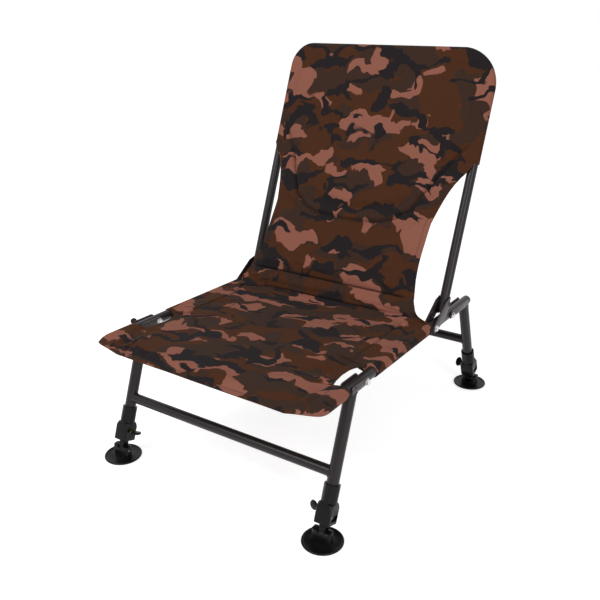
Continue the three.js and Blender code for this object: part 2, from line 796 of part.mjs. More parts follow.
function seatCover() {
  const at = (along) => along - seatBreak;
  const pocketFront = railFront - capDome - slideGap - coverWall;
  const cornerAt = pocketFront - pocketTaper;
  const cutBack = railSide - channelOuter - cutBackGap;
  const front = [
    hemmed(frontHalf, at(seatFrontEdge), seatLevel, -padStep * 2),
    hemmed((frontHalf + frontCorner) / 2, at((seatFrontEdge + cornerAt) / 2), seatLevel, 0),
    hemmed(frontCorner, at(cornerAt), seatLevel, seatCrown / 2),
    sleeved(at(pocketFront), seatCrown / 2),
    sleeved(at(pocketEnd), seatCrown),
  ];
  const middle = [
    hemmed(railSide - channelOuter, at(pocketEnd + seatGap), seatLevel, seatCrown),
    hemmed(cutBack + cutBackCorner, at(pocketEnd + cutBackCorner), seatLevel, seatCrown),
    hemmed(cutBack, at((pocketEnd + sleeveStart) / 2), seatLevel, seatCrown),
    hemmed(cutBack + cutBackCorner, at(sleeveStart - cutBackCorner), seatLevel, seatCrown),
    hemmed(railSide - channelOuter, at(sleeveStart - seatGap), seatLevel, seatCrown),
  ];
  const rear = [
    sleeved(at(sleeveStart), seatCrown),
    sleeved(at((sleeveStart + lumbarStart) / 2), seatCrown),
    sleeved(at(lumbarStart - seatGap), seatCrown),
  ];
  return loft([...front, ...middle, ...rear]).subtract(railSpace(railFront - capDome - slideGap, lumbarStart));
}

// The sling narrows to a waist: half widths as shares of half the rail spacing, along the sling
const slingShares = [
  [-0.11, 1.03],
  [0, 1.02],
  [0.03, 0.99],
  [0.058, 0.948],
  [0.11, 0.888],
  [0.16, 0.854],
  [0.213, 0.838],
  [0.28, 0.817],
  [0.35, 0.804],
  [0.42, 0.798],
  [0.557, 0.798],
  [0.625, 0.8],
  [0.694, 0.821],
  [0.763, 0.846],
  [0.83, 0.876],
  [0.883, 0.908],
  [0.923, 0.94],
  [0.954, 0.98],
  [0.986, 1.017],
  [1.022, 1.045],
  [1.8, 1.045],
];

function slingHalf(share) {
  const next = Math.max(1, slingShares.findIndex(([place]) => place >= share));
  const [from, start] = slingShares[next - 1];
  const [to, end] = slingShares[next];
  return railSide * (start + ((end - start) * (share - from)) / (to - from));
}

// Lumbar cover: the part of the sling over the hinge, sewn in two channels, with the sleeve ends

const creaseShares = [0.034, 0.139];
const lumbarEndShare = 0.44;

function lumbarCover() {
  const half = seamHalf / slingLength;
  const [low, high] = creaseShares;
  const start = (lumbarStart - seatBreak) / slingLength;
  const shares = [start, (start + low - half) / 2, low - half, low, low + half];
  shares.push(high - half, high, high + half, (high + lumbarEndShare) / 2, lumbarEndShare);
  const rows = shares.map((share) => {
    const dip = creaseShares.includes(share) ? seamDepth : 0;
    return hemmed(slingHalf(share), share * slingLength, seatLevel, backCrown, dip);
  });
  const sleeve = alongY(polygon(sleeveRadius, roundSides), lumbarStart, sleeveRear);
  const both = sleeve.translate([railSide, 0, 0]).add(sleeve.translate([-railSide, 0, 0]));
  const whole = loft(rows).add(seenFrom(chair, seat, both));
  return whole.subtract(railSpace(lumbarStart - overrun, sleeveRear + overrun));
}

// Back cover: the padded upper sling and the head pad, parted by a curved seam, and the hood that
// is pulled over the tube from above

// Where the seam crosses each column of the pad and the hem, as a share of the sling's length
const headSeamShares = [0.566, 0.571, 0.592, 0.65, 0.86, 1.132, 1.145, 1.15, 1.165, 1.175];
const lowerRowShares = [0, 0.2, 0.4, 0.6, 0.8];
const headRowShares = [0.14, 0.34, 0.55, 0.75, 0.9, 1];

function hoodHalf(distance) {
  const corner = Math.max(0, distance - slingLength - hoodLength + bendRadius);
  const drawn = bendRadius - Math.sqrt(Math.max(0, bendRadius ** 2 - corner ** 2));
  return slingHalf(distance / slingLength) - drawn;
}

// The hem lies closer to the path where the hood wraps the tubes.
function levelAt(distance) {
  const share = (distance - slingLength) / (2 * foldLength) + 1;
  return seatLevel + (hoodLevel - seatLevel) * Math.min(1, Math.max(0, share));
}

// A row of the back whose columns each lie at their own distance up the path.
function backRow(distanceOf, crown, dip) {
  const shares = [...padShares, ...hemShares];
  const columns = shares.map((share, k) => {
    const distance = distanceOf(headSeamShares[k] * slingLength);
    const half = hoodHalf(distance);
    const level = levelAt(distance);
    if (k < padShares.length) return padColumns(half, distance, level, crown, dip)[k];
    const thick = (hemHalfShares[k - padShares.length] * hemThickness) / 2;
    return [share * half, level + thick, level - thick, distance];
  });
  return row(columns);
}

function backPanel() {
  const start = lumbarEndShare * slingLength + seatGap;
  const top = slingLength + hoodLength;
  const rows = lowerRowShares.map((share) => {
    return backRow((seam) => start + (seam - seamHalf - start) * share, backCrown, 0);
  });
  rows.push(backRow((seam) => seam - seamHalf, backCrown, 0));
  rows.push(backRow((seam) => seam, backCrown, seamDepth));
  rows.push(backRow((seam) => seam + seamHalf, headCrown, 0));
  for (const share of headRowShares) {
    const crown = headCrown * Math.sqrt(1 - share ** 3);
    rows.push(backRow((seam) => seam + seamHalf + (top - seam - seamHalf) * share, crown, 0));
  }
  return loft(rows);
}

// The hood's cross section at one height: a flat loop with round ends.
function hoodRing(half, radius, height) {
  const points = [];
  for (let k = 0; k < roundSides; k += 1) {
    const round = ((k + 0.5) / roundSides) * 2 * Math.PI;
    const x = Math.sign(Math.cos(round)) * (half - radius) + radius * Math.cos(round);
    points.push(new THREE.Vector3(x, backTubeOffset + radius * Math.sin(round), height));
  }
  return points;
}

// The space round the upper tube that a cloth loop of one radius encloses.
function hoodSpace(radius, start) {
  const corner = backTop - bendRadius;
  const outer = bendRadius + radius;
  const wide = (height) => railSide - bendRadius + Math.sqrt(outer ** 2 - Math.max(0, height - corner) ** 2);
  const rings = [hoodRing(railSide + radius, radius, start)];
  for (let step = 0; step < bendSteps; step += 1) {
    const height = corner + outer * Math.sin(((90 * step) / bendSteps) * degree);
    if (height < backTop) rings.push(hoodRing(wide(height), radius, height));
  }
  for (let k = 0; k < roundSides / 4; k += 1) {
    const round = ((k + 0.5) / roundSides) * 2 * Math.PI;
    const height = backTop + radius * Math.sin(round);
    rings.push(hoodRing(wide(height), radius * Math.cos(round), height));
  }
  return loft(rings);
}

function backCover() {
  const shell = hoodSpace(sleeveRadius, hoodSkirt);
  const hollow = hoodSpace(tubeOd / 2 + slideGap, hoodStart - 2 * foldLength);
  return backPanel().add(seenFrom(chair, backrest, shell)).subtract(seenFrom(chair, backrest, hollow));
}

add(chair, "seat_cover", seatCover(), materials.cloth);
add(chair, "lumbar_cover", lumbarCover(), materials.cloth);
add(chair, "back_cover", backCover(), materials.cloth);

// The origin lies on the ground, in the middle of the chair's box.
chair.updateMatrixWorld(true);
const middle = new THREE.Box3().setFromObject(chair, true).getCenter(new THREE.Vector3());
chair.position.y = -middle.y;

export default chair;
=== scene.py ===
import math

import bmesh
import bpy
import numpy as np
from mathutils import Matrix, Vector


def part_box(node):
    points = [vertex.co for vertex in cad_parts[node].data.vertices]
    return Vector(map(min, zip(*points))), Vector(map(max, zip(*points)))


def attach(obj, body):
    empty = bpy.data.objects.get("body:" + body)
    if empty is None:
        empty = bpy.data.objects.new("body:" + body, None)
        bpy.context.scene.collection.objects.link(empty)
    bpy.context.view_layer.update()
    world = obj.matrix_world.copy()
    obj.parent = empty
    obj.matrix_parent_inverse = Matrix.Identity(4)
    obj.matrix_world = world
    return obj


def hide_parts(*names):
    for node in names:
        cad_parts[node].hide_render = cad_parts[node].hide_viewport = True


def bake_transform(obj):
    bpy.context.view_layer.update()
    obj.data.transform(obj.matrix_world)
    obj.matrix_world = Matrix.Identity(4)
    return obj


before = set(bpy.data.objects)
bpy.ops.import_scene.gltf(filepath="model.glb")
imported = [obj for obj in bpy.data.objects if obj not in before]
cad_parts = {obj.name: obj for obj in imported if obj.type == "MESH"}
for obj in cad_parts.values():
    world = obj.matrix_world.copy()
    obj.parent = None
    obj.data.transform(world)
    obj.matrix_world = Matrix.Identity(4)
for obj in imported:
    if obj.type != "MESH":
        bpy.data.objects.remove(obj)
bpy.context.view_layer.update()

# Side rails
# Two straight steel tubes, 20 mm across with a 1.5 mm wall, that carry everything else. Each is
# sawn to length, drilled for its three bolts and powder coated.

MM = 0.001
RAIL_SIDE = 240.0  # rail centre lines either side of the middle
RAIL_HEIGHT = 262.4  # of their centre lines, where distances along them start
RAIL_FRONT, RAIL_REAR = 8.0, 609.0
SEAT_TILT = math.radians(1.9)
TUBE_RADIUS, TUBE_WALL = 10.0, 1.5
FRONT_PIVOT_AT, BACK_PIVOT_AT, REAR_PIVOT_AT = 123.5, 415.0, 502.0
CRISP_ANGLE = 32.0  # edges sharper than this are rounded, and stay crisp in the shading
SIDES = {"left": -1, "right": 1}


def linear(code, gain=1.0):
    """An sRGB hex colour as the linear RGBA that the shaders take, times a gain."""
    parts = [int(code[k : k + 2], 16) / 255 for k in (1, 3, 5)]
    return [gain * (c / 12.92 if c <= 0.04045 else ((c + 0.055) / 1.055) ** 2.4) for c in parts] + [1.0]


def add_node(material, kind, settings=None, links=None, output=0):
    """Adds a shader node and returns one of its outputs. Settings are the node's own values or its
    inputs' values, links its inputs' sources."""
    node = material.node_tree.nodes.new("ShaderNode" + kind)
    for key, value in (settings or {}).items():
        if isinstance(key, int) or key in node.inputs:
            node.inputs[key].default_value = value
        else:
            setattr(node, key, value)
    for key, source in (links or {}).items():
        material.node_tree.links.new(source, node.inputs[key])
    return node.outputs[output]


def new_material(name, **shader_values):
    """A material with its shader. Words in the shader's socket names are joined by underscores."""
    material = bpy.data.materials.new(name)
    material.use_nodes = True
    shader = material.node_tree.nodes["Principled BSDF"]
    for key, value in shader_values.items():
        shader.inputs[key.replace("_", " ")].default_value = value
    return material, shader


def connect(material, source, shader, socket):
    material.node_tree.links.new(source, shader.inputs[socket])


def piece_noise(material, size, detail):
    """Noise of a size in millimetres, fixed to the piece."""
    place = add_node(material, "TexCoord", output="Object")
    return add_node(material, "TexNoise", {"Scale": 1 / (size * MM), "Detail": detail}, {"Vector": place})


def tint(material, shader, dark, pale, cloud):
    """Colours a material between two shades by a noise."""
    shade = add_node(material, "Mix", {"data_type": "RGBA", 6: dark, 7: pale}, {0: cloud}, output=2)
    connect(material, shade, shader, "Base Color")


def roughen(material, shader, height, strength, depth):
    """Gives a material bumps of a depth in millimetres."""
    bump = {"Strength": strength, "Distance": depth * MM}
    connect(material, add_node(material, "Bump", bump, {"Height": height}), shader, "Normal")


# Polyester powder baked on steel: satin, nearly black with a warm cast, and slightly pebbled
# because the powder melts into an orange peel of about 1.2 mm.
def powder_coat(name, colour, roughness):
    coat, shader = new_material(name, Roughness=roughness, IOR=1.5, Specular_IOR_Level=0.24)
    tint(coat, shader, linear(colour, 0.86), linear(colour, 1.14), piece_noise(coat, 40, 3.0))
    roughen(coat, shader, piece_noise(coat, 1.2, 1.0), 0.25, 0.06)
    return coat


charcoal_powder_coat = powder_coat("charcoal_powder_coat", "#251f20", 0.3)


def raw_mesh(name, points, faces):
    """An object in millimetres in the piece's own axes."""
    mesh = bpy.data.meshes.new(name)
    mesh.from_pydata([tuple(p) for p in points], [], faces)
    made = bmesh.new()
    made.from_mesh(mesh)
    bmesh.ops.remove_doubles(made, verts=made.verts, dist=0.001)
    bmesh.ops.recalc_face_normals(made, faces=made.faces)
    made.to_mesh(mesh)
    made.free()
    piece = bpy.data.objects.new(name, mesh)
    bpy.context.scene.collection.objects.link(piece)
    return piece


def joined(*pieces):
    """Several objects as one, under the first one's name."""
    made = bmesh.new()
    for piece in pieces:
        made.from_mesh(piece.data)
    made.to_mesh(pieces[0].data)
    made.free()
    for piece in pieces[1:]:
        bpy.data.objects.remove(piece)
    return pieces[0]


def shift(x=0, y=0, z=0):
    return Matrix.Translation((x, y, z))


def spin(degrees, axis):
    return Matrix.Rotation(math.radians(degrees), 4, axis)


def moved(piece, way):
    piece.data.transform(way)
    return piece


def surfaced(piece, material, crisp=CRISP_ANGLE):
    """Gives a piece its material and a smooth shading, apart from its crisp edges."""
    piece.data.materials.clear()
    piece.data.materials.append(material)
    piece.data.shade_smooth()
    piece.data.set_sharp_from_angle(angle=math.radians(crisp))


def fit(piece, place, material, body, node):
    """Puts a finished millimetre mesh in its place in metres, ties it to its body and hides the CAD node
    it stands for.
    """
    surfaced(moved(piece, Matrix.Scale(MM, 4) @ place), material)
    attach(piece, body)
    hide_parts(node)


def circle(count):
    """The cosines and sines of evenly spaced turns."""
    turns = [2 * math.pi * k / count for k in range(count)]
    return [(math.cos(t), math.sin(t)) for t in turns]


def skinned(rings, looped=False):
    """Points and faces of a skin over rings of equally many points, capped unless it is looped."""
    count, total = len(rings[0]), len(rings)
    faces = []
    for r in range(total if looped else total - 1):
        for k in range(count):
            a, b = r * count, (r + 1) % total * count
            faces.append((a + k, a + (k + 1) % count, b + (k + 1) % count, b + k))
    if not looped:
        faces += [tuple(range(count)), tuple((total - 1) * count + k for k in range(count))]
    return [p for ring in rings for p in ring], faces


def turned(name, profile, sides=48, hollow=False):
    """A profile of radius and height turned round Z. A hollow piece's profile is a closed loop."""
    axis_radius = 0.0005  # for points on the axis
    rings = []
    for radius, height in profile:
        radius = max(radius, axis_radius)
        rings.append([(radius * c, radius * s, height) for c, s in circle(sides)])
    return raw_mesh(name, *skinned(rings, looped=hollow))


def rod(name, radius, low, high):
    return turned(name, [(0, low), (radius, low), (radius, high), (0, high)])


def tube_profile(radius, wall, low, high, lip=0.4):
    """The closed section of a tube's wall, its rims slightly rounded."""
    bore = radius - wall
    foot = [(bore, low + lip), (bore + lip, low), (radius - lip, low), (radius, low + lip)]
    return foot + [(radius, high - lip), (radius - lip, high), (bore + lip, high), (bore, high - lip)]


def on_rail(along, up=0.0):
    """A place in the side view, by its distance along the rails and above their centre line."""
    y = along * math.cos(SEAT_TILT) + up * math.sin(SEAT_TILT)
    return Vector((0, y, RAIL_HEIGHT - along * math.sin(SEAT_TILT) + up * math.cos(SEAT_TILT)))


def lean_place(point, lean):
    """Axes at a point of the side view, leaning back."""
    return shift(*(point + Vector((0, CHAIR_SHIFT, 0)))) @ Matrix.Rotation(-lean, 4, "X")


bolt_low, bolt_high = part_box("front_pivot_bolt_right")
CHAIR_SHIFT = (bolt_low.y + bolt_high.y) / 2 / MM - on_rail(FRONT_PIVOT_AT).y
SEAT = lean_place(on_rail(0), SEAT_TILT)
ALONG_Y = spin(-90, "X")  # turns a piece's Z to Y
ALONG_X = spin(90, "Y")  # turns a piece's Z to X

for side, sign in SIDES.items():
    rail = turned(f"rail_{side}", tube_profile(TUBE_RADIUS, TUBE_WALL, RAIL_FRONT, RAIL_REAR))
    place = SEAT @ shift(sign * RAIL_SIDE) @ ALONG_Y
    fit(rail, place, charcoal_powder_coat, "seat", f"seat_rail_{side}")

# Rail end caps
# Moulded polyethylene plugs with a low dome, pushed into both ends of each rail. The front ones
# are hidden in the pockets of the cover.

CAP_DOME, CAP_RIM = 5.0, 1.2  # height of the dome and of the straight rim below it
CAP_DEPTH = 12.0


# Nylon or polyethylene from a spark-eroded mould: black, dull, and faintly grained at 0.6 mm.
def moulded_plastic(name, colour, roughness):
    plastic, shader = new_material(name, Roughness=roughness, IOR=1.5, Specular_IOR_Level=0.16)
    tint(plastic, shader, linear(colour, 0.8), linear(colour, 1.3), piece_noise(plastic, 14, 5.0))
    roughen(plastic, shader, piece_noise(plastic, 0.6, 2.0), 0.3, 0.05)
    return plastic


black_nylon = moulded_plastic("black_nylon", "#0d0b0c", 0.36)

plug = TUBE_RADIUS - TUBE_WALL - 0.3
cap_profile = [(0, -CAP_DEPTH), (plug - 0.8, -CAP_DEPTH), (plug, 1 - CAP_DEPTH), (plug, 0.3)]
cap_profile += [(TUBE_RADIUS - 0.3, 0.3), (TUBE_RADIUS, 0.6)]
for a in np.linspace(0, math.pi / 2 - 0.01, 9):
    cap_profile.append((TUBE_RADIUS * math.cos(a) ** 0.6, CAP_RIM + (CAP_DOME - CAP_RIM) * math.sin(a)))
for side, sign in SIDES.items():
    for end, along, turn in (("front", RAIL_FRONT, 90), ("rear", RAIL_REAR, -90)):
        cap = turned(f"rail_{end}_cap_{side}", cap_profile)
        place = SEAT @ shift(sign * RAIL_SIDE, along) @ spin(turn, "X")
        fit(cap, place, black_nylon, "seat", f"rail_{end}_cap_{side}")

# Pivot bolts
# Bright zinc-plated M6 screws with a chamfered hexagon head, a washer and a lock nut with a nylon
# collar. Each pair is the axis of a leg frame or of the backrest.

CHANNEL_INNER, CHANNEL_OUTER = 10.4, 12.6  # a bracket's cheeks, from the rail's centre line
HEX_ACROSS = 10.0  # across the flats
WASHER = [(3.2, 0), (6.3, 0), (6.5, 0.3), (6.5, 0.7), (6.2, 1.0), (3.2, 1.0)]

# Zinc on steel, bright passivated: metallic, pale and a little cloudy.
zinc_plate, zinc_shader = new_material("zinc_plate", Metallic=1.0, Roughness=0.24)
tint(zinc_plate, zinc_shader, linear("#b9b9bd"), linear("#e4e3e2"), piece_noise(zinc_plate, 2.5, 4.0))


def hexagon(name, height, collar=0.0):
    """A hexagon of a screw's head or nut along Z, chamfered by a cone, with an optional round collar."""
    flat = HEX_ACROSS / 2
    rings = []
    for drop in (height, 1.3, 1.0, 0.7, 0.4, 0.15, 0):
        ring = []
        for k in range(48):
            turn = 2 * math.pi * k / 48
            edge = flat / math.cos((turn % (math.pi / 3)) - math.pi / 6)
            radius = min(edge, flat * 0.95 + drop * 1.73)
            ring.append((radius * math.cos(turn), radius * math.sin(turn), height - drop))
        rings.append(ring)
    body = raw_mesh(name, *skinned(rings))
    if collar:
        round_rim = [(0, height - 0.5), (4.1, height - 0.5), (4.1, height + collar - 0.7)]
        round_rim += [(3.4, height + collar), (0, height + collar)]
        body = joined(body, turned(name + "_collar", round_rim))
    return body


def bolt(name):
    """A bolt along Z through a bracket, its head above and its nut below."""
    cheek = CHANNEL_OUTER + 0.3
    shank = [(0, -cheek - 6.6), (2.4, -cheek - 6.6), (3, -cheek - 6), (3, cheek + 1), (0, cheek + 1)]
    head = moved(hexagon(name + "_head", 3.2), shift(z=cheek + 0.8))
    head_washer = moved(turned(name + "_head_washer", WASHER, hollow=True), shift(z=cheek - 0.2))
    nut = moved(hexagon(name + "_nut", 3.4, collar=1.4), shift(z=-cheek - 0.8) @ spin(180, "X"))
    nut_washer = moved(turned(name + "_nut_washer", WASHER, hollow=True), shift(z=-cheek - 0.8))
    return joined(turned(name, shank), head, head_washer, nut, nut_washer)


for side, sign in SIDES.items():
    for name, along in (("front", FRONT_PIVOT_AT), ("backrest", BACK_PIVOT_AT), ("rear", REAR_PIVOT_AT)):
        place = SEAT @ shift(sign * RAIL_SIDE, along) @ ALONG_X
        fit(bolt(f"{name}_bolt_{side}"), place, zinc_plate, "seat", f"{name}_pivot_bolt_{side}")

# Leg brackets
# Channels pressed from 2.2 mm steel sheet that cradle the rail from below. Two cheeks reach up to
# the bolt, and the round web is the stop that the rail rests on when the legs are out.

LUG_RADIUS = 9.5
WEB_CLEAR = 15.0  # the web starts this far from the bolt
BRACKET_TOP = 9.5
FRONT_REACH, REAR_REACH = 50.0, 94.0
NOSE_DROP = 8.0
LOCK_AT, LOCK_UP, LOCK_BORE = -40.0, 6.0, 2.4
SHEET_EDGE = 0.45  # roundings left by the press
THROUGH = 15.0  # cutters reach this far to both sides

# The same powder on pressed sheet, in a lighter, greyer colour that is painted light: it stands in for
# the light falling on the brackets' outer cheeks.
lit_bracket_coat = powder_coat("powder_coat_painted_lighter", "#3f3637", 0.36)


def arc(centre, radius, first, last, steps):
    """Points on an arc, with its turns in degrees."""
    turns = [math.radians(first + (last - first) * k / steps) for k in range(steps + 1)]
    return [(centre[0] + radius * math.cos(t), centre[1] + radius * math.sin(t)) for t in turns]


def box_outline(low, high):
    """A rectangle's outline between two corners."""
    return [low, (high[0], low[1]), high, (low[0], high[1])]


def prism(name, outline, low, high, axis):
    """An outline extruded along an axis: drawn as y,z along X, x,z along Y, and x,y along Z."""
    spot = "XYZ".index(axis)
    rings = [[(*p[:spot], c, *p[spot:]) for p in outline] for c in (low, high)]
    return raw_mesh(name, *skinned(rings))


def carve(piece, tool, operation="DIFFERENCE", solver="EXACT"):
    """Cuts or joins two closed millimetre meshes. The tool is used up."""
    step = piece.modifiers.new(operation, "BOOLEAN")
    step.operation, step.solver, step.object = operation, solver, tool
    bake_modifiers(piece)
    bpy.data.objects.remove(tool)


def bake_modifiers(piece):
    """Turns a piece's modifiers into its mesh."""
    graph = bpy.context.evaluated_depsgraph_get()
    made = bpy.data.meshes.new_from_object(piece.evaluated_get(graph))
    piece.modifiers.clear()
    piece.data = made


def soften(piece, width, steps=2):
    """Rounds a piece's sharp edges."""
    step = piece.modifiers.new("edges", "BEVEL")
    step.width, step.segments = width, steps
    step.limit_method, step.angle_limit = "ANGLE", math.radians(CRISP_ANGLE)
    bake_modifiers(piece)
    return piece


def bore(radius, low, high, y, z):
    """A cutter for a hole along X."""
    return prism("bore", arc((y, z), radius, 0, 345, 23), low, high, "X")


def leg_bracket(name, reach, lock_side=0):
    """A bracket with its bolt at the origin and its channel towards -Y."""
    brim = BRACKET_TOP + 2
    section = [(CHANNEL_OUTER, brim)] + arc((0, 0), CHANNEL_OUTER, 0, -180, 32)
    section += [(-CHANNEL_OUTER, brim), (-CHANNEL_INNER, brim)]
    section += arc((0, 0), CHANNEL_INNER, -180, 0, 32) + [(CHANNEL_INNER, brim)]
    channel = prism(name, section, -reach - 14, 14, "Y")
    side_view = arc((0, 0), LUG_RADIUS, -100, 90, 28)
    for t in np.linspace(0, 1, 12):
        side_view.append((-reach + NOSE_DROP * (1 - t) ** 2, BRACKET_TOP * (1 - t * t)))
    side_view += [(-reach + NOSE_DROP, -CHANNEL_OUTER - 2), (-WEB_CLEAR - NOSE_DROP, -CHANNEL_OUTER - 2)]
    carve(channel, prism("side_view", side_view, -THROUGH, THROUGH, "X"), "INTERSECT")
    swing = box_outline((-CHANNEL_INNER, -20), (CHANNEL_INNER, 20))
    carve(channel, prism("swing", swing, -WEB_CLEAR, 20, "Y"))
    if lock_side:
        ends = sorted((0, lock_side * (CHANNEL_OUTER + 2)))
        carve(channel, bore(LOCK_BORE, *ends, LOCK_AT, LOCK_UP))
    return soften(channel, SHEET_EDGE)


for side, sign in SIDES.items():
    front = leg_bracket(f"front_bracket_{side}", FRONT_REACH, lock_side=sign)
    place = SEAT @ shift(sign * RAIL_SIDE, FRONT_PIVOT_AT)
    fit(front, place, lit_bracket_coat, "front_frame", f"front_bracket_{side}")
    rear = leg_bracket(f"rear_bracket_{side}", REAR_REACH)
    place = SEAT @ shift(sign * RAIL_SIDE, REAR_PIVOT_AT) @ spin(180, "Z")
    fit(rear, place, lit_bracket_coat, "rear_frame", f"rear_bracket_{side}")

# Lock knob
# A black ball moulded on a steel pin, sprung into the outer cheek of the left front bracket. It
# keeps the front legs out and is pulled sideways to fold them.

BALL_RADIUS = 6.5
BALL_AT = CHANNEL_OUTER + 0.3 + BALL_RADIUS
PIN_FROM = CHANNEL_INNER + 0.3

ball = [(0, BALL_AT - BALL_RADIUS)]
for a in np.linspace(0.34, math.pi - 0.02, 22):
    ball.append((BALL_RADIUS * math.sin(a), BALL_AT - BALL_RADIUS * math.cos(a)))
pin = [(0, PIN_FROM), (1.6, PIN_FROM), (2, PIN_FROM + 0.4), (2, BALL_AT), (0, BALL_AT)]
lock_ball = joined(turned("lock_ball", ball), turned("lock_pin", pin))
place = SEAT @ shift(-RAIL_SIDE, FRONT_PIVOT_AT + LOCK_AT, LOCK_UP) @ spin(180, "Z") @ ALONG_X
fit(lock_ball, place, black_nylon, "lock", "lock_knob")

# Legs and braces
# Steel tubes of 22 mm, their tops coped and welded to the undersides of the brackets, with a 20 mm
# cross brace welded between each pair. The welds are small ripples under the powder.

LEG_RADIUS = 11.0
LEG_FOOT = 50.0  # lower end of a leg tube, up the leg from the pin of its foot
PIN_HEIGHT = 16.0
LEG_WELD, BRACE_WELD = 1.2, 1.3
LEGS = {
    "front": {"pivot": FRONT_PIVOT_AT, "lean": math.radians(20.5), "offset": -28.4, "brace": 109.5},
    "rear": {"pivot": REAR_PIVOT_AT, "lean": math.radians(-21.5), "offset": 83.0, "brace": 126.0},
}


def weld_bead(loop, radius):
    """A closed bead along a loop of points, rippled as the arc leaves it."""
    rings = []
    for k, point in enumerate(loop):
        along = (Vector(loop[(k + 1) % len(loop)]) - Vector(loop[k - 1])).normalized()
        out = along.cross(Vector((0, 0, 1))).normalized()
        up = out.cross(along)
        size = radius * (1 + 0.1 * math.sin(k * 2.4) + 0.06 * math.sin(k * 0.9))
        rings.append([Vector(point) + size * (c * out + s * up) for c, s in circle(10)])
    return raw_mesh("bead", *skinned(rings, looped=True))


for end, leg in LEGS.items():
    pivot, lean = on_rail(leg["pivot"]), leg["lean"]
    top = pivot + leg["offset"] * Vector((0, math.cos(lean), -math.sin(lean)))
    length = (top.z - PIN_HEIGHT) / math.cos(lean)
    leg["pin"] = top - length * Vector((0, math.sin(lean), math.cos(lean)))
    leg["place"] = lean_place(leg["pin"], lean)
    for side, sign in SIDES.items():
        leg[side] = leg["place"] @ shift(sign * RAIL_SIDE) @ spin(180 if sign < 0 else 0, "Z")
        rail_axes = leg[side].inverted() @ SEAT @ shift(sign * RAIL_SIDE)
        axis_point, normal = rail_axes.translation, rail_axes.to_3x3() @ Vector((0, 0, 1))

        def coped(x, y, gap=0.2):
            """Height of the bracket's round underside over a place in the leg's section."""
            drop = math.sqrt((CHANNEL_OUTER + gap) ** 2 - x * x)
            return axis_point.z + (-drop - normal.y * (y - axis_point.y)) / normal.z

        leg_top = coped(0, 0)
        tube = turned(f"{end}_leg_{side}", tube_profile(LEG_RADIUS, TUBE_WALL, LEG_FOOT, leg_top))
        for v in tube.data.vertices:
            if v.co.z > leg_top - 1:
                v.co.z += coped(v.co.x, v.co.y) - leg_top
        rim = [(LEG_RADIUS * c, LEG_RADIUS * s) for c, s in circle(60)]
        bead = weld_bead([(x, y, coped(x, y) - 0.3) for x, y in rim], LEG_WELD)
        tube = joined(tube, bead)
        fit(tube, leg[side], charcoal_powder_coat, f"{end}_frame", f"{end}_leg_{side}")

    brace_end = RAIL_SIDE - LEG_RADIUS
    brace = turned(f"{end}_brace", tube_profile(TUBE_RADIUS, TUBE_WALL, -brace_end, brace_end))
    for v in brace.data.vertices:
        if abs(v.co.z) > brace_end - 1:
            reach = RAIL_SIDE - math.sqrt((LEG_RADIUS + 0.15) ** 2 - v.co.y**2)
            v.co.z += math.copysign(reach - brace_end, v.co.z)
    beads = []
    for sign in SIDES.values():
        loop = []
        for c, s in circle(54):
            across = TUBE_RADIUS * c
            end_at = RAIL_SIDE - 0.4 - math.sqrt(LEG_RADIUS**2 - across**2)
            loop.append((TUBE_RADIUS * s, across, sign * end_at))
        beads.append(weld_bead(loop, BRACE_WELD))
    place = leg["place"] @ shift(z=leg["brace"]) @ ALONG_X
    fit(joined(brace, *beads), place, charcoal_powder_coat, f"{end}_frame", f"{end}_brace")

# Clamp collars
# Glass-filled nylon collars moulded round the lower end of each leg: a round sleeve over the tube
# and a square block below it, with a thumb screw. A brass insert shows in a recess in its side.

CLAMP_RINGS = ((21, 15.2, 2.2), (50, 15.4, 2.2), (57, 14.4, 4.5))  # height, half width and chamfer
COLLAR_RADIUS, COLLAR_FOOT, COLLAR_TOP = 14.5, 52.0, 90.0
COLLAR_EDGE = 0.8
EXTENSION_RADIUS = 9.0
LEG_GAP, SLIDE_GAP = 0.25, 0.4  # round the leg and the extension in the collar's bore
SCREW_AT = 40.0
RECESS_AT, RECESS_FLOOR, RECESS_HALF = 32.0, 11.0, 5.5
INSERT_AT, INSERT_BORE, INSERT_SINK = -2.0, 3.8, 2.8
SCREW_BORE, THREAD_CORE, THREAD_CREST = 3.4, 2.45, 3.0
WING_AT, WING_UP, WING_REACH, WING_HALF = -26.3, 3.6, 7.0, 11.0
WING_EDGE = 0.5
# The wing's section from its face to its middle: how far off, and how full the oval is there
WING_FACE = [(-2.5, 0.72), (-2.2, 0.86), (-1.5, 0.96), (-0.6, 1)]
WING_SECTION = WING_FACE + [(-y, size) for y, size in reversed(WING_FACE)]
# How far each wing is turned from the leg's length, in degrees, as the screws were left after clamping
WING_TURN = {"front_left": 90, "front_right": 28, "rear_left": 20, "rear_right": -56}

# Turned brass, bare: yellow metal with fine rings left by the tool.
turned_brass, brass_shader = new_material("turned_brass", Metallic=1.0, Roughness=0.26)
tint(turned_brass, brass_shader, linear("#b08a3c"), linear("#d9b762"), piece_noise(turned_brass, 2, 3.0))


def chamfered(wide, deep, cut):
    """A rectangle's outline, of half width and half depth, with its corners cut off."""
    corners = [(wide, cut - deep), (wide, deep - cut), (wide - cut, deep), (cut - wide, deep)]
    return corners + [(-wide, deep - cut), (-wide, cut - deep), (cut - wide, -deep), (wide - cut, -deep)]


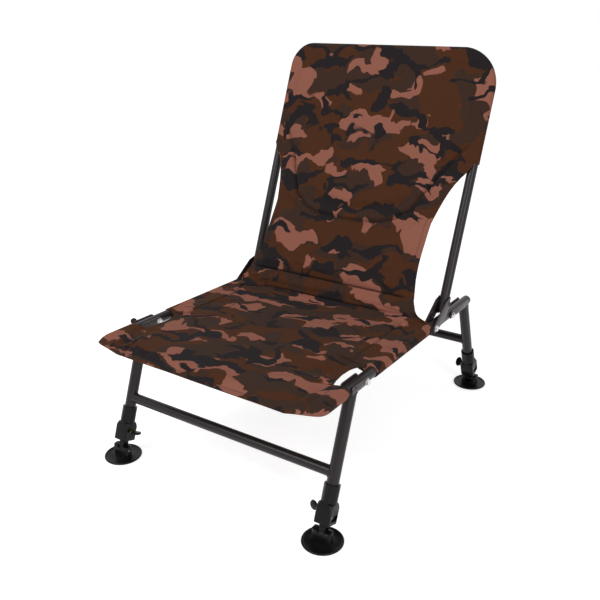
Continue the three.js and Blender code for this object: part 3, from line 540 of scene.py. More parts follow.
def clamp_collar(name):
    """The square block, its sleeve, the bores for leg and extension, the recess and the screw's hole."""
    rings = [[(x, y, z) for x, y in chamfered(half, half, cut)] for z, half, cut in CLAMP_RINGS]
    collar = raw_mesh(name, *skinned(rings))
    carve(collar, rod("sleeve", COLLAR_RADIUS, COLLAR_FOOT, COLLAR_TOP), "UNION")
    leg_bore, slide_bore, step_at = LEG_RADIUS + LEG_GAP, EXTENSION_RADIUS + SLIDE_GAP, LEG_FOOT - 0.3
    steps = [(0, 0), (slide_bore, 0), (slide_bore, step_at), (leg_bore, step_at), (leg_bore, 95), (0, 95)]
    carve(collar, turned("bore", steps))
    recess = box_outline((-9, RECESS_AT - RECESS_HALF), (13, RECESS_AT + RECESS_HALF))
    carve(collar, prism("recess", recess, RECESS_FLOOR, 20, "X"))
    carve(collar, bore(INSERT_BORE, RECESS_FLOOR - INSERT_SINK, 20, INSERT_AT, RECESS_AT))
    carve(collar, bore(SCREW_BORE, -20, -8, 0, SCREW_AT))
    return soften(collar, COLLAR_EDGE, steps=3)


def clamp_screw(name, turn):
    """The thumb screw's black handle with its oval wing, along -X from the leg's centre."""
    hub = turned(name, [(0, 17.6), (3.9, 17.6), (4.5, 18.2), (4.5, 21.0), (3.9, 21.6), (0, 21.6)])
    moved(hub, spin(-90, "Y"))
    rings = []
    for y, size in WING_SECTION:
        reach, half = WING_REACH * size, WING_HALF * size
        rings.append([(WING_AT + reach * c, y, WING_UP + half * s) for c, s in circle(40)])
    carve(hub, raw_mesh("wing", *skinned(rings)), "UNION")
    return soften(moved(hub, spin(turn, "X")), WING_EDGE)


def clamp_thread(name):
    """The screw's M6 thread, its ridges as rings 1 mm apart."""
    profile = [(0, 9.7)]
    for k in range(9):
        profile += [(THREAD_CORE, 9.8 + k), (THREAD_CREST, 10.2 + k), (THREAD_CREST, 10.4 + k)]
    return moved(turned(name, profile + [(THREAD_CORE, 19.0), (0, 19.0)], sides=32), spin(-90, "Y"))


for end, leg in LEGS.items():
    for side in SIDES:
        foot, frame_body = f"{end}_{side}", f"{end}_frame"
        collar = clamp_collar(f"{foot}_collar")
        fit(collar, leg[side], black_nylon, frame_body, f"{foot}_clamp_collar")
        stub = [(0, 8.5), (3.2, 8.5), (3.6, 8.9), (3.6, 10.9), (3.2, 11.3), (1.5, 11.3), (1.3, 10.5)]
        stub.append((0, 10.5))
        place = leg[side] @ shift(0, INSERT_AT, RECESS_AT) @ ALONG_X
        insert = turned(f"{foot}_insert", stub, sides=32)
        fit(insert, place, turned_brass, frame_body, f"{foot}_clamp_insert")
        place = leg[side] @ shift(z=SCREW_AT)
        wing = clamp_screw(f"{foot}_thumb_screw", WING_TURN[foot])
        fit(wing, place, black_nylon, f"{foot}_screw", f"{foot}_clamp_screw")
        thread = clamp_thread(f"{foot}_screw_thread")
        fit(thread, place, turned_brass, f"{foot}_screw", f"{foot}_clamp_screw")

# Feet
# An 18 mm tube slides in each leg. A moulded knuckle plugs its lower end and turns on a steel pin
# in the boss of a 75 mm disc, which tilts to lie flat on soft ground.

EYE_RADIUS = 8.9
TONGUE_HALF, SLOT_HALF = 6.0, 6.4
FLANGE_AT = 15.0
EXTENSION_FOOT, EXTENSION_LENGTH = 17.3, 150.0
DISC_RADIUS, DISC_THICK, RIM_RADIUS = 37.5, 3.0, 2.2
PIN_RADIUS = 2.0
TONGUE_EDGE, DISC_EDGE = 0.6, 0.55
BARREL_HALF, BARREL_TOP, BARREL_POWER = 10.5, 9.6, 0.62  # the boss's rounded-off section


def knuckle(name):
    """The plug in the extension's lower end, and the tongue with its eye for the pin."""
    eye = arc((0, 0), EYE_RADIUS, -215, 35, 40)
    eye += [(7, 5), (7, FLANGE_AT + 0.5), (-7, FLANGE_AT + 0.5), (-7, 5)]
    tongue = prism(name, eye, -TONGUE_HALF, TONGUE_HALF, "X")
    plug = [(0, FLANGE_AT), (8.6, FLANGE_AT), (9, FLANGE_AT + 0.4), (9, 16.6), (8.6, 17), (7.2, 17.2)]
    carve(tongue, turned("plug", plug + [(7.2, 34), (6.4, 35.3), (0, 35.3)]), "UNION")
    carve(tongue, bore(PIN_RADIUS + 0.4, -10, 10, 0, 0))
    return soften(tongue, TONGUE_EDGE)


def foot_disc(name):
    """The disc with its boss, from the pin's centre. The slot is open towards +Y and above."""
    rim = arc((DISC_RADIUS - RIM_RADIUS, 2.5), RIM_RADIUS, -80, 120, 12)
    profile = [(0, 0), (DISC_RADIUS - 3.2, 0)] + rim
    profile += [(32.8, DISC_THICK + 0.2), (32.0, DISC_THICK), (0, DISC_THICK)]
    disc = moved(turned(name, profile, sides=96), shift(z=-PIN_HEIGHT))
    boss = prism("boss", chamfered(18.5, 10.5, 5.5), -14.5, 12, "Z")
    barrel = []
    for t in np.linspace(0, math.pi, 33):
        out = math.copysign(abs(math.cos(t)) ** BARREL_POWER, math.cos(t))
        barrel.append((BARREL_HALF * out, BARREL_TOP * math.sin(t) ** BARREL_POWER))
    barrel += [(-BARREL_HALF, -16), (BARREL_HALF, -16)]
    carve(boss, prism("barrel", barrel, -20, 20, "X"), "INTERSECT")
    carve(disc, boss, "UNION")
    carve(disc, prism("slot", box_outline((-9.3, -9.4), (30, 12)), -SLOT_HALF, SLOT_HALF, "X"))
    carve(disc, bore(PIN_RADIUS + 0.25, -20, 20, 0, 0))
    return soften(disc, DISC_EDGE)


for end, leg in LEGS.items():
    for side, sign in SIDES.items():
        foot = f"{end}_{side}"
        body, top = f"{foot}_extension", EXTENSION_FOOT + EXTENSION_LENGTH
        slide = turned(f"{foot}_slide", tube_profile(EXTENSION_RADIUS, TUBE_WALL, EXTENSION_FOOT, top))
        fit(slide, leg[side], charcoal_powder_coat, body, f"{foot}_extension")
        tongue = knuckle(f"{foot}_knuckle_joint")
        fit(tongue, leg[side], black_nylon, body, f"{foot}_knuckle")
        body, turn = f"{foot}_foot", 180 if end == "rear" else 0
        ground = lean_place(leg["pin"], 0) @ shift(sign * RAIL_SIDE) @ spin(turn, "Z")
        fit(foot_disc(f"{foot}_disc"), ground, black_nylon, body, f"{foot}_foot")
        pin = [(0, -18.2), (1.7, -18.2), (2, -17.9), (2, 17.9), (1.7, 18.2), (0, 18.2)]
        pin = turned(f"{foot}_pin", pin, sides=32)
        fit(pin, ground @ ALONG_X, zinc_plate, body, f"{foot}_tilt_pin")

# Backrest frame
# One 20 mm tube bent to a U, its ends riveted into two pressed channels. Each channel turns on a
# rail bolt, and its heel comes down on the rail when the chair is open.

BACK_LEAN = math.radians(21.8)
BACK_TUBE = 46.0  # the tube runs this far behind its bolts
TUBE_START, TUBE_BREAK, BACK_TOP = 33.0, 300.0, 570.0
BEND_RADIUS = 70.0
RIVET_AT, RIVET_RADIUS = 53.0, 4.5
BACKREST = lean_place(on_rail(BACK_PIVOT_AT), BACK_LEAN)

corner = RAIL_SIDE - BEND_RADIUS
places = [(-RAIL_SIDE, TUBE_START, 0.0), (-RAIL_SIDE, TUBE_BREAK, 0.0)]
for centre, first in ((-corner, 0), (corner, 90)):
    for step in range(19):
        turn = math.radians(first + 5 * step)
        x = centre - BEND_RADIUS * math.cos(turn)
        places.append((x, BACK_TOP - BEND_RADIUS + BEND_RADIUS * math.sin(turn), turn))
places += [(RAIL_SIDE, TUBE_BREAK, math.pi), (RAIL_SIDE, TUBE_START, math.pi)]


def bent_rings(radius, ends_in):
    """Rings round the U, the end ones drawn in along the tube."""
    rings = []
    for k, (x, z, turn) in enumerate(places):
        if k in (0, len(places) - 1):
            z += ends_in
        ring = []
        for c, s in circle(40):
            out = radius * c
            ring.append((x - out * math.cos(turn), BACK_TUBE + radius * s, z + out * math.sin(turn)))
        rings.append(ring)
    return rings


outer = bent_rings(TUBE_RADIUS, 0.4)
inner = bent_rings(TUBE_RADIUS - TUBE_WALL, 0.4)
rim_out, rim_in = bent_rings(TUBE_RADIUS - 0.4, 0), bent_rings(TUBE_RADIUS - TUBE_WALL + 0.4, 0)
wall = [rim_out[0]] + outer + [rim_out[-1], rim_in[-1]] + inner[::-1] + [rim_in[0]]
back_tube = raw_mesh("backrest_frame", *skinned(wall, looped=True))
fit(back_tube, BACKREST, charcoal_powder_coat, "backrest", "backrest_tube")


def backrest_bracket(name):
    """A channel with its bolt at the origin, open to the front, its heel just over the rail."""
    tilt = BACK_LEAN - SEAT_TILT
    rear = BACK_TUBE + CHANNEL_OUTER

    def rail_top(back):
        return (TUBE_RADIUS + 0.3) / math.cos(tilt) + back * math.tan(tilt)

    side_view = arc((0, 0), LUG_RADIUS, 170, 310, 26)
    side_view += [(43, 22), (BACK_TUBE, rail_top(BACK_TUBE)), (rear, rail_top(rear))]
    side_view += [(rear, 68), (44, 66), (29, 56), (12, 32)]
    plan = [(CHANNEL_OUTER, -12)] + arc((0, BACK_TUBE), CHANNEL_OUTER, 0, 180, 32)
    plan += [(-CHANNEL_OUTER, -12), (-CHANNEL_INNER, -12)]
    plan += arc((0, BACK_TUBE), CHANNEL_INNER, 180, 0, 32) + [(CHANNEL_INNER, -12)]
    channel = prism(name, plan, -14, 72, "Z")
    carve(channel, prism("side_view", side_view, -THROUGH, THROUGH, "X"), "INTERSECT")
    return soften(channel, SHEET_EDGE)


def rivet(name):
    cheek = CHANNEL_OUTER + 0.1
    half = [(RIVET_RADIUS, cheek)]
    for a in np.linspace(0, math.pi / 2 - 0.01, 8):
        half.append((RIVET_RADIUS * math.cos(a), cheek + 1.9 * math.sin(a)))
    profile = [(r, -z) for r, z in reversed(half)] + half
    return turned(name, [(0, profile[0][1])] + profile + [(0, profile[-1][1])], sides=32)


for side, sign in SIDES.items():
    place = BACKREST @ shift(sign * RAIL_SIDE)
    blade = backrest_bracket(f"backrest_channel_{side}")
    fit(blade, place, lit_bracket_coat, "backrest", f"backrest_bracket_{side}")
    place = place @ shift(0, BACK_TUBE, RIVET_AT) @ ALONG_X
    pin = rivet(f"backrest_pin_{side}")
    fit(pin, place, lit_bracket_coat, "backrest", f"backrest_rivet_{side}")

# Cover
# One cover sewn from printed polyester over 10 mm wadding: a seat with a pocket and a sleeve on
# each rail, a waisted sling, and a hood pulled down over the top of the backrest frame.

CLOTH_WALL = 1.6
SLEEVE_RADIUS = TUBE_RADIUS + 0.4 + CLOTH_WALL
SEAT_LEVEL, HOOD_LEVEL = 5.0, 3.0  # middle of the hem over the cloth's path
HEM_THICK, HEM_SHARE = 4.0, 0.13  # its thickness, and the share of the half width that leans to it
HOOD_HEM = 6.3  # the hem's middle over the path where the hood's tube is just behind it
PAD_STEP, PAD_EDGE = 1.0, 0.07  # the pad's rise inside its hem, over this share of the half width
SEAT_FRONT, FRONT_SKEW = -52.0, 6.0
POCKET_END, SLEEVE_START, SLEEVE_END = 66.9, 164.6, 403.5
SEAT_BREAK = BACK_PIVOT_AT - 37
FOLD_LENGTH = 34.0  # half length of the path's rounded breaks
HOOD_START, HOOD_SKIRT = 336.0, 344.0  # up the backrest from its bolts
HOOD_AHEAD = 5.5
HOOD_CORNERS = {-1: (196.0, 526.0, 56.0), 1: (166.0, 496.0, 86.0)}  # centre and outer radius
SEAT_CROWN, BACK_CROWN, HEAD_CROWN = 3.0, 5.0, 7.0

# Half widths along the cloth, the front corners and the cut-outs round the leg brackets first
FRONT_HALF = {
    -1: [(-52, 169), (-34, 239), (-12, 249), (1, 252)],
    1: [(-52, 198.5), (-36, 216), (-11, 244), (1, 252)],
}
SIDE_HALF = [(66.9, 252), (66.91, 227.4), (69, 221), (74, 215.4), (90, 211.5), (116, 208.4)]
SIDE_HALF += [(140, 209.5), (157.5, 215.4), (162, 221), (164.6, 227.4), (164.61, 252), (344, 247)]
# Half widths of the sling, by its share of the way up and of the rails' half distance
WAIST = [(0, 1.02), (0.03, 0.99), (0.058, 0.948), (0.11, 0.888), (0.16, 0.854), (0.213, 0.838)]
WAIST += [(0.28, 0.817), (0.35, 0.804), (0.42, 0.798), (0.557, 0.798), (0.625, 0.8), (0.694, 0.821)]
WAIST += [(0.763, 0.846), (0.83, 0.876), (0.883, 0.908), (0.923, 0.94), (0.954, 0.976), (0.986, 1.006)]
WAIST += [(1.022, 1.03), (2, 1.03)]

# Sewn lines as places on the flat cloth, |x| for the head's seam, and the distance along it
HEAD_SEAM = [(0, 579), (79, 584), (107, 595), (140, 621), (165, 672), (178, 700), (202, 745)]
HEAD_SEAM += [(212, 762), (240, 790), (255, 798)]
SEAT_SEAMS = [
    [(212, -48), (219, -27), (226, 27), (226, 63)],
    [(-163, -46), (-169, 5), (-180, 40), (-214, 62)],
    [(115, 299), (197, 240)],
    [(201, 168), (198, 305), (197, 371)],
    [(-115, 299), (-187, 245)],
    [(-190, 168), (-187, 250), (-184, 294), (-198, 371)],
]
LOWER_CREASE, UPPER_CREASE = 396.0, 438.0
CREASE_END = 120.0  # the lower crease isn't sewn further to the right


def placed(place, x, back, up):
    """Points of a frame's own axes as an array, in the chair's millimetres."""
    local = np.stack(np.broadcast_arrays(x, back, up, 1.0), -1)
    return (local @ np.array(place).T)[..., :3]


break_point = placed(SEAT, 0, SEAT_BREAK, 0)
hood_point = placed(BACKREST, 0, BACK_TUBE - HOOD_AHEAD, HOOD_START)
SLING_LENGTH = float(np.linalg.norm(hood_point - break_point))
SKIRT_AT = SEAT_BREAK + SLING_LENGTH + HOOD_SKIRT - HOOD_START
TOP_AT = SEAT_BREAK + SLING_LENGTH + BACK_TOP - HOOD_START
seat_way = placed(SEAT, 0, 1, 0) - placed(SEAT, 0, 0, 0)
sling_way = (hood_point - break_point) / SLING_LENGTH
hood_way = placed(BACKREST, 0, 0, 1) - placed(BACKREST, 0, 0, 0)


def smooth(value):
    share = np.clip(value, 0, 1)
    return share * share * (3 - 2 * share)


def over_path(x, along, up):
    """Points over the cloth's path, which runs along the rails, up the sling and up the hood."""
    past = np.asarray(along, float) - SEAT_BREAK
    parts = []
    for d in (past, past - SLING_LENGTH):
        t = np.clip((d + FOLD_LENGTH) / (2 * FOLD_LENGTH), 0, 1)
        before = np.where(d < -FOLD_LENGTH, d, -FOLD_LENGTH * (1 - t) ** 2)
        after = np.where(d > FOLD_LENGTH, d, FOLD_LENGTH * t**2)
        parts.append((before, after, t))
    (seat_run, rising, first), (falling, hood_run, last) = parts
    sling_run = rising + falling + SLING_LENGTH - past
    runs = ((seat_run, seat_way), (sling_run, sling_way), (hood_run, hood_way))
    point = break_point + sum(run[..., None] * way for run, way in runs)
    ways = ((1 - first, seat_way), (first - last, sling_way), (last, hood_way))
    way = sum(share[..., None] * direction for share, direction in ways)
    way /= np.linalg.norm(way, axis=-1, keepdims=True)
    normal = np.stack([0 * way[..., 0], -way[..., 2], way[..., 1]], -1)
    x, up = np.asarray(x)[..., None], np.asarray(up)[..., None]
    point, normal, x, up = np.broadcast_arrays(point, normal, x, up)
    out = point + up * normal
    out[..., 0] += x[..., 0]
    return out


def hood_height(along):
    """Height up the backrest frame of a distance along the cloth."""
    return HOOD_START + along - SEAT_BREAK - SLING_LENGTH


def edge_half(along, side):
    """Half width of the cloth on one side, at distances along it."""
    rail_part = FRONT_HALF[side] + SIDE_HALF
    sling_part = [(SEAT_BREAK + share * SLING_LENGTH, half * RAIL_SIDE) for share, half in WAIST]
    return np.interp(along, *zip(*(rail_part + sling_part)))


def rail_share(along, side):
    """How far the edge of a row is a sleeve on the rail. The left front corner is cut back more."""
    begins, ends = (-18, 4) if side < 0 else (-58, 12)
    pocket = smooth((along - begins) / (ends - begins)) * (along <= POCKET_END)
    sleeve = (along >= SLEEVE_START) * (1 - smooth((along - SLEEVE_END) / 7))
    return pocket + sleeve


def over_top(along):
    """How far a row lies over the hood's top, where the cloth goes round the tube."""
    return np.clip(hood_height(along) - BACK_TOP, 0, SLEEVE_RADIUS)


def wrap_round(along):
    """The hood's outer radius round the tube, which draws in to a crest over its top."""
    return np.sqrt(np.maximum(SLEEVE_RADIUS**2 - over_top(along) ** 2, 0.04))


def wrap_half(along, side, radius=SLEEVE_RADIUS):
    """Half width of the hood, or of a hollow with a smaller radius round the tube."""
    across, height, outer = HOOD_CORNERS[side]
    above = np.maximum(hood_height(along) - height, 0)
    return across + np.sqrt(np.maximum((outer - SLEEVE_RADIUS + radius) ** 2 - above**2, 0))


def row_level(along):
    """Height of the face's and edge's middle over the path, and the hem's thickness, row by row."""
    level = SEAT_LEVEL + (HOOD_LEVEL - SEAT_LEVEL) * smooth((hood_height(along) - 268) / 68)
    ahead_of_tube = smooth((hood_height(along) - 300) / 32)
    rim = np.sqrt(1 - np.clip((SEAT_FRONT + 2.05 - along) / 2.1, 0, 1) ** 2)
    return level, level + (HOOD_HEM - level) * ahead_of_tube, (HEM_THICK - ahead_of_tube) * rim


def front_skew(x, along):
    """The front edge was cut a little askew: it lies further back towards the left."""
    left_share = np.clip((198 - x) / 367, 0, 1)  # of the front edge, from its right corner
    return along + FRONT_SKEW * left_share * smooth((10 - along) / 62)


def rounded_edge(along, side, count):
    """Each row's edge from face to back: a hem, a sleeve round a rail, or the hood round a tube."""
    turn, rows = np.linspace(0, 1, count)[None, :], along[:, None]
    _, level, thick = (v[:, None] for v in row_level(along))
    run = np.clip((turn - 0.3) / 0.4, 0, 1) * math.pi
    inset = 6 * np.maximum(np.maximum(0.3 - turn, turn - 0.7), 0) / 0.3
    x = side * (edge_half(rows, side) - thick / 2 * (1 - np.sin(run)) - inset)
    hem = over_path(x, front_skew(x, rows), level + thick / 2 * np.cos(run))
    ends = np.array([POCKET_END, SLEEVE_START, SLEEVE_END])
    to_end = np.abs(rows - ends).min(axis=1, keepdims=True)
    radius = SLEEVE_RADIUS - 0.7 * (1 - np.sqrt(1 - (1 - np.clip(to_end / 0.8, 0, 1)) ** 2))
    round_rail = np.radians(102 - 252 * turn)  # from just inside the rail's top, round under it
    x, up = side * (RAIL_SIDE + radius * np.cos(round_rail)), radius * np.sin(round_rail)
    sleeve = placed(SEAT, x, np.minimum(rows, SLEEVE_END), up)
    radius, round_tube = wrap_round(rows), np.radians(90 - 180 * turn)
    x = side * (wrap_half(rows, side) - radius + radius * np.cos(round_tube))
    hood = placed(BACKREST, x, BACK_TUBE - radius * np.sin(round_tube), hood_height(rows))
    share = rail_share(rows, side)[..., None]
    return np.where((rows >= SKIRT_AT)[..., None], hood, hem + (sleeve - hem) * share)


def between(table, i, j, p, q):
    """What a table holds between four neighbours, at shares of the way from one to the next."""
    low = table[i, j] * (1 - p) + table[i + 1, j] * p
    high = table[i, j + 1] * (1 - p) + table[i + 1, j + 1] * p
    return low * (1 - q) + high * q


def rumple(x, along, size, seed):
    """Smooth seeded unevenness between about -1 and 1, its bumps one size apart."""
    lattice = np.random.default_rng(seed).uniform(-1, 1, (160, 320))
    a, b = x / size + 60, along / size + 40
    i, j = np.floor(a).astype(int), np.floor(b).astype(int)
    return between(lattice, i, j, smooth(a - i), smooth(b - j))


def off_line(x, along, line):
    """Distance of each place on the cloth from a line of places on it."""
    nearest = np.full(np.broadcast(x, along).shape, np.inf)
    for (xa, la), (xb, lb) in zip(line, line[1:]):
        dx, dl = xb - xa, lb - la
        t = np.clip(((x - xa) * dx + (along - la) * dl) / (dx * dx + dl * dl), 0, 1)
        nearest = np.minimum(nearest, np.hypot(x - xa - t * dx, along - la - t * dl))
    return nearest


def ridge(distance, width):
    return np.exp(-((distance / width) ** 2))


# Pulls in the cloth: from one place to another on it, with their width and height
PULLS = [
    ((150, 655), (226, 700), 7, 3.2),
    ((158, 640), (222, 676), 5, -3.0),
    ((168, 668), (232, 716), 5, -2.6),
    ((-196, 640), (-150, 612), 8, 1.4),
    ((-215, 205), (-150, 235), 9, 1.2),
    ((205, 190), (120, 262), 8, 1.2),
    ((-205, 150), (-130, 170), 8, 1.0),
    ((200, 60), (120, 20), 9, 1.0),
    ((-120, 330), (90, 352), 10, 1.1),
]


def off_creases(x, along):
    """Signed distances along the cloth from the two creases over the fold, and how far each fades."""
    lower = along - LOWER_CREASE + 24 * smooth((-x - 120) / 90) - 0.012 * x
    fades = 1 - 0.8 * smooth((x - 90) / 110), 1 - 0.5 * smooth((x - 150) / 60)
    return (lower, fades[0]), (along - UPPER_CREASE, fades[1])


def pinch(x, along, share):
    """The cloth on both sides of a crease leans over it and nearly shuts it."""
    lean = 0
    for off, fade in off_creases(x, along):
        lean = lean + 3.0 * fade * (ridge(off + 5, 3.4) - ridge(off - 5, 3.4))
    return lean * smooth((1 - np.abs(share)) / PAD_EDGE)


def relief(x, along, share):
    """Height of the padded face over the hem, for places on the cloth."""
    seam_at = np.interp(np.abs(x), *zip(*HEAD_SEAM))
    crown = SEAT_CROWN + (BACK_CROWN - SEAT_CROWN) * smooth((along - 330) / 60)
    crown = crown + (HEAD_CROWN - crown) * smooth((along - seam_at + 8) / 16)
    top = np.clip((along - seam_at) / (TOP_AT - seam_at), 0, 1)
    crown = crown * np.sqrt(1 - top**3 * (1 - 1e-6)) * smooth((along - SEAT_FRONT) / 26)
    inside = smooth((1 - np.abs(share)) / PAD_EDGE)
    height = PAD_STEP * inside * smooth((along - SEAT_FRONT - 8) / 8) * smooth((TOP_AT + 2 - along) / 20)
    height = height + crown * (1 - share**4)
    # Swells and dents: the distance from each, its height and its width
    seam = off_line(np.abs(x), along, HEAD_SEAM)
    swells = [(seam - 12, 2.6, 8), (seam, -6.5, 2.8)]
    swells += [(off, -9.0 * fade, 4.0) for off, fade in off_creases(x, along)]
    for line in SEAT_SEAMS:
        from_line = off_line(x, along, line)
        swells += [(from_line - 8, 1.0, 5), (from_line, -3.0, 2.4)]
    swells += [(along - (LOWER_CREASE + UPPER_CREASE) / 2, 5.5, 12), (along - UPPER_CREASE - 16, 4.0, 12)]
    for dent in (254, 305):
        swells.append((along - dent - 4 * rumple(x, along, 70, 5), -1.0, 5))
    swells += [(off_line(x, along, (start, end)), lift, width) for start, end, width, lift in PULLS]
    for distance, lift, width in swells:
        height = height + inside * lift * ridge(distance, width)
    height += inside * (1.0 * rumple(x, along, 95, 1) + 0.7 * rumple(x, along, 38, 2))
    puckered = ridge(np.minimum(seam, np.abs(along - UPPER_CREASE)), 13)
    return height + inside * 0.55 * puckered * rumple(x * 1.6, along, 9, 3)


def cover_grid(along, columns, back_columns, edge_columns, puff=None):
    """The cover's face, right edge, back and left edge, each as rows of points round the section."""
    rows = along[:, None]
    level, _, thick = (v[:, None] for v in row_level(along))
    edges = {side: rounded_edge(along, side, edge_columns) for side in (-1, 1)}

    def across(shares, edge_point):
        """Each place's share of the half width, its x, the edge's place and how far it leans there."""
        share = np.linspace(-1, 1, shares)[None, :] + 0 * rows
        left, right = (edges[side][:, edge_point, None] for side in (-1, 1))
        rim = np.where((share > 0)[..., None], right, left)
        x = share * np.abs(rim[..., 0])
        rim[..., 0] = x
        return share, x, rim, smooth((np.abs(share) - 1 + HEM_SHARE) / HEM_SHARE)[..., None]

    share, x, rim, lean = across(columns, 0)
    over = over_top(rows)
    base = level + thick / 2
    base = base + (SLEEVE_RADIUS - HOOD_AHEAD - base) * smooth((hood_height(rows) - 535) / 35)
    base = np.where(over > 0, wrap_round(rows) - HOOD_AHEAD, base)
    height = relief(x, rows, share) * np.clip(thick / HEM_THICK, 0, 1) * (over == 0)
    if puff is not None:
        height = height + puff[0]
    face = over_path(x, front_skew(x, rows) + pinch(x, rows, share) * (puff is not None), base + height)
    face = face + (rim - face) * lean
    share, x, rim, lean = across(back_columns, -1)
    sag = 0.8 * (1 - share**2) * (1 + rumple(x, rows, 60, 7))
    sag = sag * smooth((BACK_TOP - hood_height(rows)) / 25)
    rear = placed(BACKREST, x, BACK_TUBE + wrap_round(rows) - sag, hood_height(rows))
    low = level - thick / 2 + 0.4 * (1 - share**4) * rumple(x, rows, 45, 8)
    if puff is not None:
        low = low - puff[1]
    back = over_path(x, front_skew(x, rows), low)
    back = back + (rim - back) * lean
    back = np.where((rows >= SKIRT_AT)[..., None], rear, back)
    return face, edges[1], back[:, ::-1], edges[-1][:, ::-1]


def whole_rings(face, right_edge, back, left_edge):
    return np.concatenate([face, right_edge[:, 1:-1], back, left_edge[:, 1:-1]], axis=1)


def cover_rows(step):
    """Distances along the cloth where the cover is drawn, closest at the ends of its sleeves."""
    stops = [SEAT_FRONT, SEAT_FRONT + 0.4, SEAT_FRONT + 1.1, SEAT_FRONT + 2.1]
    for end in (POCKET_END, SLEEVE_END):
        stops += [end - 0.8, end - 0.3, end, end + 0.05]
    stops += [SLEEVE_START - 0.05, SLEEVE_START, SLEEVE_START + 0.3, SLEEVE_START + 0.8]
    stops += [SKIRT_AT - 0.05, SKIRT_AT, TOP_AT]
    stops = sorted(stops + [LOWER_CREASE - 14, UPPER_CREASE + 12])
    rows = []
    for a, b in zip(stops, stops[1:]):
        fine = step / 2 if LOWER_CREASE - 15 < a < UPPER_CREASE + 10 else step
        rows.append(np.linspace(a, b, max(1, round((b - a) / fine)), endpoint=False))
    crest = TOP_AT + SLEEVE_RADIUS * np.sin(np.radians(np.linspace(0, 90, 9)))
    return np.concatenate(rows + [crest])


def closed_skin(name, rings):
    """The mesh over the cover's rings, with no point merged into another."""
    piece = raw_mesh(name, *skinned(list(rings)))
    if len(piece.data.vertices) != rings.size // 3:
        raise SystemExit(f"the rows of {name} don't match its mesh")
    return piece


def inflated():
    """Blows the wadding up with a cloth simulation: rows, and how far face and back swell there."""
    columns, back_columns, edge_columns, frames = 57, 29, 7, 18
    along = np.arange(SEAT_FRONT + 4, TOP_AT - 2, 9.0)
    parts = cover_grid(along, columns, back_columns, edge_columns)
    rings = whole_rings(*parts)
    first_back = columns + edge_columns - 2
    on_back = slice(first_back, first_back + back_columns)
    pad = moved(closed_skin("wadding", rings), Matrix.Scale(MM, 4))
    x, rows = parts[0][..., 0], along[:, None]
    seam = off_line(np.abs(x), rows, HEAD_SEAM)
    on_lower = (np.abs(rows - LOWER_CREASE) < 5) & (x < CREASE_END)
    sewn = (seam < 6) | (np.abs(rows - UPPER_CREASE) < 5) | on_lower
    held = np.ones(rings.shape[:2])
    held[:, :columns] = np.where(sewn | (np.abs(np.linspace(-1, 1, columns)) > 0.95), 1, 0)
    held[:, on_back] = np.where(rows < SKIRT_AT - 10, 0.35, 1)
    held[:2], held[-2:] = 1, 1
    group = pad.vertex_groups.new(name="sewn")
    for k, weight in enumerate(held.ravel()):
        group.add([k], float(weight), "REPLACE")
    cloth = pad.modifiers.new("cloth", "CLOTH")
    stuff = cloth.settings
    stuff.quality, stuff.mass, stuff.bending_stiffness = 6, 0.25, 0.6
    stuff.tension_stiffness = stuff.compression_stiffness = 18
    stuff.use_pressure, stuff.uniform_pressure_force = True, 2.2
    stuff.shrink_min, stuff.effector_weights.gravity = -0.03, 0
    stuff.vertex_group_mass, stuff.pin_stiffness = "sewn", 5
    cloth.collision_settings.use_collision = False
    cloth.point_cache.frame_end = frames
    scene = bpy.context.scene
    start = scene.frame_current
    for shown in range(1, frames + 1):
        scene.frame_set(shown)
    shape = pad.evaluated_get(bpy.context.evaluated_depsgraph_get()).data
    after = np.empty(len(shape.vertices) * 3)
    shape.vertices.foreach_get("co", after)
    scene.frame_set(start)
    swollen = after.reshape(rings.shape) / MM - rings
    bpy.data.objects.remove(pad)
    lift = over_path(np.zeros(len(along)), along, np.ones(len(along))) - over_path(0, along, 0.0)
    rise = (swollen * lift[:, None]).sum(axis=-1)
    face_rise = np.clip(rise[:, :columns], -2.5, 5.0)
    return along, face_rise, np.clip(-rise[:, on_back][:, ::-1], -1.5, 3.0)


def spread(field, rows_from, rows_to, columns):
    """A field on coarse rows and columns, drawn out to finer ones."""
    shares = np.linspace(0, 1, field.shape[1])
    wide = np.array([np.interp(np.linspace(0, 1, columns), shares, row) for row in field])
    return np.array([np.interp(rows_to, rows_from, column) for column in wide.T]).T


COLUMNS, BACK_COLUMNS, EDGE_COLUMNS = 201, 61, 16
rows_along = cover_rows(2.9)
puff = None
coarse_rows, face_puff, back_puff = inflated()
face_puff = spread(face_puff, coarse_rows, rows_along, COLUMNS)
shares, rows = np.linspace(-1, 1, COLUMNS)[None, :], rows_along[:, None]
from_seam = off_line(np.abs(shares) * edge_half(rows_along, 1)[:, None], rows, HEAD_SEAM)
from_crease = np.minimum(np.abs(rows - UPPER_CREASE), np.abs(rows - LOWER_CREASE))
face_puff *= 1 - 0.8 * ridge(np.minimum(from_seam, from_crease), 8)
puff = [face_puff, spread(back_puff, coarse_rows, rows_along, BACK_COLUMNS)]
face, right_edge, back, left_edge = cover_grid(rows_along, COLUMNS, BACK_COLUMNS, EDGE_COLUMNS, puff)
rings = whole_rings(face, right_edge, back, left_edge)
cover = closed_skin("padded_cover", rings)

BACK_PRINT_AT = 1300.0  # where the back's cloth lies on the print, beside the face's


